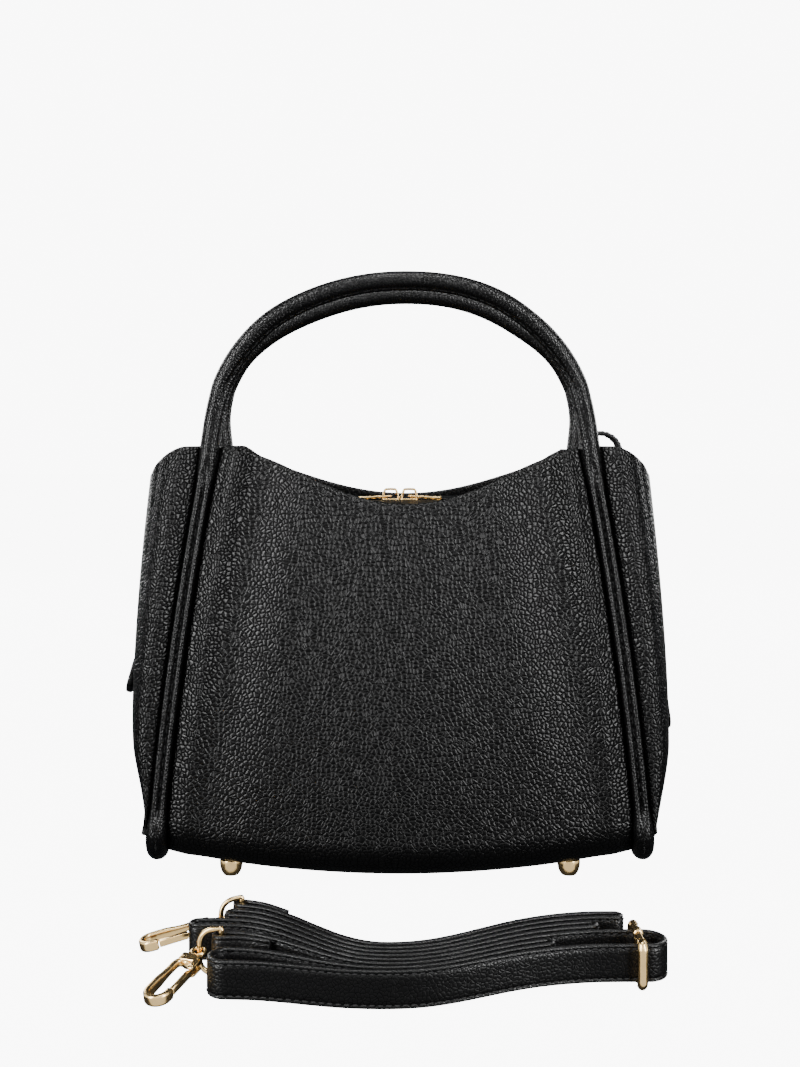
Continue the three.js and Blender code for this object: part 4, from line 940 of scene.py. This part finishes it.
# Slide buckle: a bent wire frame round both lanes, and a middle bar whose ends wrap its rails
def buckle_mesh():
    low, high = (np.array(p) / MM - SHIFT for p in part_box("slide_buckle"))
    x = (low[0] + high[0]) / 2
    front, back = low[1] + 0.9, high[1] - 1.2
    foot, top = low[2] + 2.0, high[2] - 1.15
    middle = (front + back) / 2
    outline = rounded((back - front) / 2, (top - foot) / 2, 3.0, 7) + [middle, (foot + top) / 2]
    path = smooth_path([(x, y, z) for y, z in outline], 0.7, True)
    upright = np.abs(path_frames(path, (1, 0, 0), True)[0][:, 2])
    wire = (1.35 + 0.75 * smooth(upright))[:, None, None] * circle(1, 18)
    frame_wire = sweep(path, wire, (1, 0, 0), True)
    bar_path = np.array([[x, middle, z] for z in np.linspace(foot + 0.9, top - 0.9, 12)])
    bar = sweep(bar_path, circle(1.5, 18), (1, 0, 0))
    sets = [frame_wire, bar]
    for z in (foot, top):
        profile = [(1.2, -2.2), (1.9, -2.0), (2.0, -1.5), (2.0, 1.5), (1.9, 2.0), (1.2, 2.2)]
        points, faces = turned(profile, [0, 0, 0], 28)
        sets.append((points[:, [0, 2, 1]] + [x, middle, z], faces))
    return merged(sets)


make("buckle", buckle_mesh(), GOLD, "buckle", ["slide_buckle"])


# A plate from a convex outline in XY, with softened edges top and bottom
def plate(outline, low, high, soft):
    centre = outline.mean(axis=0)
    reach = np.linalg.norm(outline - centre, axis=1).mean()
    rise = soft * 0.3
    steps = [(low, soft), (low + rise, rise), (low + soft, 0)]
    steps += [(high - soft, 0), (high - rise, rise), (high, soft)]
    loops = []
    for z, inset in steps:
        ring = centre + (outline - centre) * (1 - inset / reach)
        loops.append(np.column_stack([ring, np.full(len(ring), z)]))
    return np.concatenate(loops), capped(numbers(len(loops), len(outline)))


def smooth_outline(outline, step):
    corners = np.column_stack([outline, np.zeros(len(outline))])
    return smooth_path(corners, step, True)[:, :2]


# Zip facings, from under the front and back rims down to the tape
ZIP_Z, ZIP_HALF = 183.0, 88.0


def facing_grid(side, columns=80, rows=14):
    x = np.linspace(-85, 85, columns)[None]
    t = np.linspace(0, 1, rows)[:, None]
    low = ZIP_Z + 1.7
    rim = face_rim(x, side)
    high = np.maximum(rim - 4.0, np.minimum(low + 0.1, rim - 1.0))
    deep = panel_depth(x / (seam_x(high) - CLEAR), high) - SKIN - 0.2
    z = low + (high - low) * t**1.6 + 0.5 * np.sin(np.pi * t) * np.cos(x * 0.09 + 1)
    y = -11 - (deep - 11) * t
    return np.stack([np.broadcast_to(x, y.shape), y, z], axis=-1)


for name, side in FACES:
    skin = shell(facing_grid(side), 1.0)
    make(f"facing_{name}", skin, LEATHER, "bag", [f"zip_facing_{name}"], turn=TURNS[name])


# Zip tapes with a corded edge beside the teeth
def tape_grid(columns=120):
    x = np.linspace(-ZIP_HALF, ZIP_HALF, columns)
    y = np.array([-15, -14, -11, -8, -6.2, -5.2, -4.6, -4.1, -3.7])
    rise = np.array([0, 0, 0, 0, 0.02, 0.2, 0.3, 0.2, 0.0])
    grid = np.zeros((len(y), columns, 3))
    grid[..., 0], grid[..., 1] = x[None], y[::-1, None]
    grid[..., 2] = ZIP_Z + 0.4 + rise[::-1, None]
    return grid


for name, _ in FACES:
    tape = shell(tape_grid(), 0.8)
    make(f"tape_{name}", tape, TAPE, "bag", [f"zip_tape_{name}"], turn=TURNS[name])


# Teeth: rounded blocks that narrow towards the middle, on a cord
TOOTH_PITCH = 3.4


def teeth_mesh():
    count = int(2 * ZIP_HALF // TOOTH_PITCH)
    stations = [(-3.65, 0.8), (-3.4, 1), (-2.5, 1), (-1.6, 0.82), (-0.8, 0.8), (-0.5, 0.55)]
    section = rounded(0.8, 0.8, 0.35, 3)
    scaled = np.stack([section * [min(1, s + 0.2), s] for _, s in stations])
    sets = []
    for i in range(count):
        x = (i + 0.5 - count / 2) * TOOTH_PITCH
        path = np.array([[x, y, ZIP_Z] for y, _ in stations])
        sets.append(sweep(path, scaled, UP))
    cord = np.array([[x, -3.2, ZIP_Z] for x in np.linspace(-86.5, 86.5, 60)])
    sets.append(sweep(cord, circle(0.55, 10), UP))
    return merged(sets)


for name, _ in FACES:
    make(f"teeth_{name}", teeth_mesh(), GOLD, "bag", [f"zip_teeth_{name}"], turn=TURNS[name])


# Sliders: two shield plates, side flanges, a web and a bridge for the pull
def shield():
    half, wide = 4.7, 4.5
    corners = [(-half, -wide * 0.8), (-half + 1.6, -wide), (half * 0.5, -wide), (half, -wide * 0.72)]
    corners += [(x, -y) for x, y in corners[::-1]]
    return np.clip(smooth_outline(corners, 0.5), [-half, -wide], [half, wide])


def slider_mesh():
    sets = [plate(shield(), 1.1, 2.1, 0.35), plate(shield(), -2.1, -1.1, 0.35)]
    for sy in (-1, 1):
        for low, high in ((0.7, 1.9), (-1.9, -0.7)):
            stations = [(-3.1, 0.8, 0.7), (-2.9, 1, 1), (2.1, 1, 1), (2.35, 0.8, 0.7)]
            sets.append(bar_x(stations, (high - low) / 2, 0.45, 0.2, 4.05 * sy, (low + high) / 2))
    sets.append(bar_x([(-3.2, 1, 1), (3.2, 1, 1)], 2.0, 0.2, 0.1))
    arch = [(-4.3, 0, 1.8), (-4.1, 0, 2.9), (-3.1, 0, 6.0), (-2.6, 0, 6.7), (-1.2, 0, 6.9), (0, 0, 6.92)]
    arch += [(-x, y, z) for x, y, z in arch[-2::-1]]
    sets.append(sweep(smooth_path(arch, 0.4), rounded(1.2, 0.6, 0.4), (0, 1, 0)))
    return merged(sets)


# Pulls: an eye round the bridge and a tapered grip
PULL_LIFT, PULL_LENGTH = 3.4, 17.0
PULL_DROOP = math.asin((PULL_LIFT - 2.1) / PULL_LENGTH)


def pull_mesh():
    eye = [(0, -1, 0), (0, 1, 0), (0.5, 1.9, 0), (1.6, 2.05, 0), (4.6, 2.05, 0), (5.3, 1.5, 0)]
    eye += [(5.5, 0, 0), (5.3, -1.5, 0), (4.6, -2.05, 0), (1.6, -2.05, 0), (0.5, -1.9, 0)]
    ring = sweep(smooth_path(eye, 0.45, True), circle(0.6, 12), UP, True)
    stations = [(5.0, 0.9, 0.8), (5.4, 1.2, 1.1), (6.4, 1.3, 1.0), (11, 1.2, 0.92), (14.2, 1.5, 1.0)]
    stations += [(15.6, 1.8, 1.0), (16.4, 1.6, 0.9), (16.8, 1.1, 0.65), (17.0, 0.6, 0.35)]
    grip = bar_x(stations, 0.6, 2.0, 0.45)
    ex = (math.cos(PULL_DROOP), 0, -math.sin(PULL_DROOP))
    ez = (math.sin(PULL_DROOP), 0, math.cos(PULL_DROOP))
    return set_in(merged([ring, grip]), np.array([0, 0, PULL_LIFT]), ex, ez)


for end in ("left", "right"):
    low, high = (np.array(p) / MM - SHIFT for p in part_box(f"zip_slider_{end}"))
    spot = np.array([(low[0] + high[0]) / 2, 0, ZIP_Z])
    for name, (points, faces) in (("slider", slider_mesh()), ("pull", pull_mesh())):
        form = (points * TURNS[end] + spot, faces)
        make(f"{name}_{end}", form, GOLD, f"{end}_{name}", [f"zip_{name}_{end}"])


# Covered zip ends climb the folded side, cross its rim and hang down outside
SIDE_RIM, TAIL = RIM - SIDE_DIP, 1.6
TAIL_OFF = 0.6 + TAIL * 1.45


def inner_face(y, z):
    return gusset_x(y, z) - SKIN * 1.45


def tail_grid(end_z, columns=15, rows=90):
    grid = np.zeros((rows, columns, 3))
    foot, top = ZIP_Z + 3 * TAIL, SIDE_RIM - 2
    flat_end = inner_face(0, ZIP_Z) - TAIL_OFF - 2 * TAIL
    for c, y in enumerate(np.linspace(-8, 8, columns)):
        rim = (inner_face(y, SIDE_RIM) + gusset_x(y, SIDE_RIM)) / 2
        stations = [(ZIP_HALF + 0.3, y, ZIP_Z + 0.8), (flat_end, y, ZIP_Z + 0.8)]
        stations += [(inner_face(y, z) - TAIL_OFF, y, z) for z in (foot, top)]
        stations += [(rim + side * TAIL_OFF, y, SIDE_RIM + TAIL_OFF + 0.3) for side in (-1, 1)]
        stations += [(gusset_x(y, z) + TAIL_OFF, y, z) for z in np.linspace(top, end_z, 9)]
        line = smooth_path(stations, 0.5)
        pick = np.linspace(0, len(line) - 1, rows).round().astype(int)
        grid[:, c] = line[pick]
    return grid


# Leather end tabs with a stitched border
TAB_HALF, TAB_DROP, TAB_THICK, TAB_SEAM = 9.0, 13.0, 3.2, 1.7
TAB_STITCH, LOOP_STITCH = (2.9, 2.0, 0.26, -0.02), (2.9, 2.0, 0.24, 0.0)


def tab_outline(inset):
    half = TAB_HALF - inset
    return np.array([(half, -inset), *arc(0, -TAB_DROP, half, 0, -180, 17), (-half, -inset)])


def tab_pieces(end_z, lean):
    tab = plate(smooth_outline(tab_outline(0), 0.8), 0, TAB_THICK, 0.8)
    line = tab_outline(TAB_SEAM)
    seam = np.column_stack([line, np.full(len(line), TAB_THICK)])
    thread = stitches(smooth_path(seam, 0.8), UP, *TAB_STITCH)
    origin = np.array([gusset_x(0, end_z) + 0.6, 0, end_z - 0.9])
    outward = np.array([math.cos(lean), 0, math.sin(lean)])
    return [set_in(form, origin, (0, 1, 0), outward) for form in (tab, thread)]


# Strap loops: a stitched strip that straddles the side rim and stands up as an eye
LOOP_HALF = 1.1


def loop_path(radius, top):
    clear = TAIL_OFF + 0.6 + LOOP_HALF
    foot = ZIP_Z + 6
    inside = [(inner_face(0, z) - clear, 0, z) for z in (foot, SIDE_RIM)]
    outside = [(gusset_x(5, z) + clear, 0, z) for z in (SIDE_RIM, foot)]
    middle = (inside[1][0] + outside[0][0]) / 2
    eye = [(x, 0, z) for x, z in arc(middle, top - LOOP_HALF - radius, radius, 215, -35, 21)]
    return smooth_path(inside + eye + outside, 0.8)


# Each side's tab height and lean, and its loop's radius and top
SIDES = (("left", 104.0, 0.3, 6.6, 209.5), ("right", 86.0, 0.17, 10.2, 220.5))
for end, end_z, lean, radius, top in SIDES:
    turn = TURNS[end]
    tail = shell(tail_grid(end_z), TAIL)
    make(f"tail_{end}", tail, TAPE, "bag", [f"zip_tail_{end}"], turn=turn)
    tab, thread = tab_pieces(end_z, lean)
    make(f"tab_{end}", tab, STRAP_LEATHER, "bag", [f"zip_tail_tab_{end}"], turn=turn)
    make(f"tab_stitching_{end}", thread, THREAD, "bag", turn=turn)
    path = loop_path(radius, top)
    out = np.cross(unit(np.gradient(path, axis=0)), (0, 1, 0))
    loop = sweep(path, rounded(LOOP_HALF, 5.0, 0.8), out)
    make(f"loop_{end}", loop, STRAP_LEATHER, "bag", [f"strap_loop_{end}"], turn=turn)
    thread = strip_stitches(path, out, (0, 3.7, 0), LOOP_HALF, LOOP_STITCH)
    make(f"loop_stitching_{end}", thread, THREAD, "bag", turn=turn)


# Lining: a loose cloth cup over the board and the washers, up to just under the zip
CLOTH, FLOOR_LIFT = 0.8, SKIN + 1.8 + 1.0 + 1.8


def lining_mesh(sides=96):
    foot = base_z(BASE_X) + FLOOR_LIFT
    angle, ring = full_turn(sides), circle(1, sides)
    cx, cy = (np.sign(ring) * np.sqrt(np.abs(ring))).T
    folds = 1 - 0.012 * (1 + np.sin(11 * angle + 0.6 * np.sin(3 * angle))) / 2

    def loop(z, shrink, low, inset):
        room = SKIN + 0.9 + 4.6 * low_draw(z)
        wide = (gusset_x(0, z) - room) * shrink - inset
        deep = (seam_y(z) - CLEAR - 0.3) * shrink - inset
        x, y = wide * cx * folds, deep * cy * folds
        floor = base_z(x) + FLOOR_LIFT + inset
        return np.stack([x, y, np.maximum(low, floor)], axis=1)

    # Loops down the walls, round the bend and over the floor: height, share and lowest point
    stations = [(z, 1, z) for z in np.linspace(ZIP_Z - 5, foot + 10, 24)]
    stations += [(foot + 5, 0.99, foot + 5), (foot + 2.5, 0.965, foot + 2.5)]
    stations += [(foot, shrink, 0) for shrink in (0.92, 0.8, 0.6, 0.4, 0.2, 0.03)]
    outer, inner = ([loop(*s, inset) for s in stations] for inset in (0, CLOTH))
    rings = np.array(outer[::-1] + inner)
    return rings.reshape(-1, 3), capped(numbers(len(rings), sides))


make("lining_cup", lining_mesh(), LINING, "bag", ["lining"])

# What stays as built is hidden inside: the board and the washers of the feet
for node, obj in frame["nodes"].items():
    if node == "base_board" or node.startswith("foot_washer"):
        obj.material_slots[0].material = BOARD if node == "base_board" else GOLD


# Camera at the photograph's angle
SENSOR, LENS, PICTURE_SHIFT = 36.0, 44.6, -97.5 / 1067
EYE_BACK, EYE_HIGH = 0.700, 0.218


def camera():
    data = bpy.data.cameras.new("camera")
    data.sensor_width = SENSOR
    data.lens = LENS
    data.shift_y = PICTURE_SHIFT
    obj = bpy.data.objects.new("camera", data)
    bpy.context.scene.collection.objects.link(obj)
    obj.location = (SHIFT[0] * MM, SHIFT[1] * MM - EYE_BACK, EYE_HIGH)
    obj.rotation_euler = (math.radians(90), 0, 0)
    bpy.context.scene.camera = obj


# Soft lights: name, place, aim, size and power
AIM, LOW_AIM, FLOOR_AIM = (0, 0.05, 0.14), (0, -0.05, 0.05), (0, -0.1, 0)
LIGHTS = (
    ("key_left", (-0.95, -0.75, 0.8), AIM, (0.4, 0.8), 18),
    ("key_right", (0.88, -0.9, 0.8), AIM, (0.4, 0.8), 15.5),
    ("fill", (0.0, -1.25, 0.75), AIM, (0.5, 0.3), 1),
    ("top", (0.0, -0.2, 1.2), AIM, (0.6, 0.25), 6),
    ("low_left", (-0.95, -0.85, 0.14), LOW_AIM, (0.4, 0.3), 6),
    ("low_right", (0.95, -0.9, 0.14), LOW_AIM, (0.4, 0.3), 6),
    ("edge_left", (-0.9, 1.1, 0.6), AIM, (0.5, 0.9), 10),
    ("edge_right", (0.9, 1.1, 0.6), AIM, (0.5, 0.9), 10),
)
# White cards that only the metal mirrors
CARDS = (
    ("card_front", (0, -1.3, 0.75), AIM, (3.2, 1.8), 26),
    ("card_left", (-1.3, -0.3, 0.4), AIM, (2.0, 1.6), 14),
    ("card_right", (1.3, -0.3, 0.4), AIM, (2.0, 1.6), 14),
    ("card_low", (0, -0.8, -0.45), FLOOR_AIM, (2.6, 1.0), 9),
)


def light(name, place, aim, size, power):
    data = bpy.data.lights.new(name, "AREA")
    data.shape = "RECTANGLE"
    data.size, data.size_y = size
    data.energy = power
    obj = bpy.data.objects.new(name, data)
    bpy.context.scene.collection.objects.link(obj)
    obj.location = place
    obj.rotation_euler = (Vector(aim) - Vector(place)).to_track_quat("-Z", "Y").to_euler()
    return obj


def metal_cards():
    metal = bpy.data.collections.new("metal")
    for obj in list(bpy.context.scene.objects):
        if any(slot.material == GOLD for slot in obj.material_slots):
            metal.objects.link(obj)
    for row in CARDS:
        light(*row).light_linking.receiver_collection = metal


# A pale surface that only the camera sees, so that the object isn't lit or mirrored by it
def stage_piece(name, points, faces, glow, albedo):
    material, _, shader = new_material(name)
    looks = {"Base Color": (albedo, albedo, albedo, 1), "Roughness": 1.0, "Specular IOR Level": 0.0}
    looks |= {"Emission Color": (1, 1, 1, 1), "Emission Strength": glow}
    for key, value in looks.items():
        shader.inputs[key].default_value = value
    mesh = bpy.data.meshes.new(name)
    mesh.from_pydata(points, [], faces)
    mesh.materials.append(material)
    obj = bpy.data.objects.new(name, mesh)
    bpy.context.scene.collection.objects.link(obj)
    obj.visible_diffuse = False
    obj.visible_glossy = False
    obj.visible_shadow = False


# How far the stage reaches, how far it lies under the feet, and its low and high edges
FAR, FLOOR_DROP, STAGE_LOW, STAGE_HIGH = 7.0, 0.0002, -1.0, 9.0
FLOOR_GLOW, FLOOR_ALBEDO, BACKDROP_GLOW, WORLD_GLOW = 8.95, 0.25, 9.15, 0.045


def studio():
    corners = ((-FAR, -FAR), (FAR, -FAR), (FAR, FAR), (-FAR, FAR))
    floor = [(x, y, -FLOOR_DROP) for x, y in corners]
    stage_piece("floor", floor, [(0, 1, 2, 3)], FLOOR_GLOW, FLOOR_ALBEDO)
    box = [(x, y, z) for z in (STAGE_LOW, STAGE_HIGH) for x, y in corners]
    walls = [(0, 1, 5, 4), (1, 2, 6, 5), (2, 3, 7, 6), (3, 0, 4, 7), (4, 5, 6, 7)]
    stage_piece("backdrop", box, walls, BACKDROP_GLOW, 0.0)
    world = bpy.data.worlds.new("studio")
    bpy.context.scene.world = world
    world.use_nodes = True
    background = world.node_tree.nodes["Background"]
    background.inputs["Color"].default_value = (0.9, 0.93, 1.0, 1)
    background.inputs["Strength"].default_value = WORLD_GLOW
    for row in LIGHTS:
        light(*row)
    metal_cards()


camera()
studio()
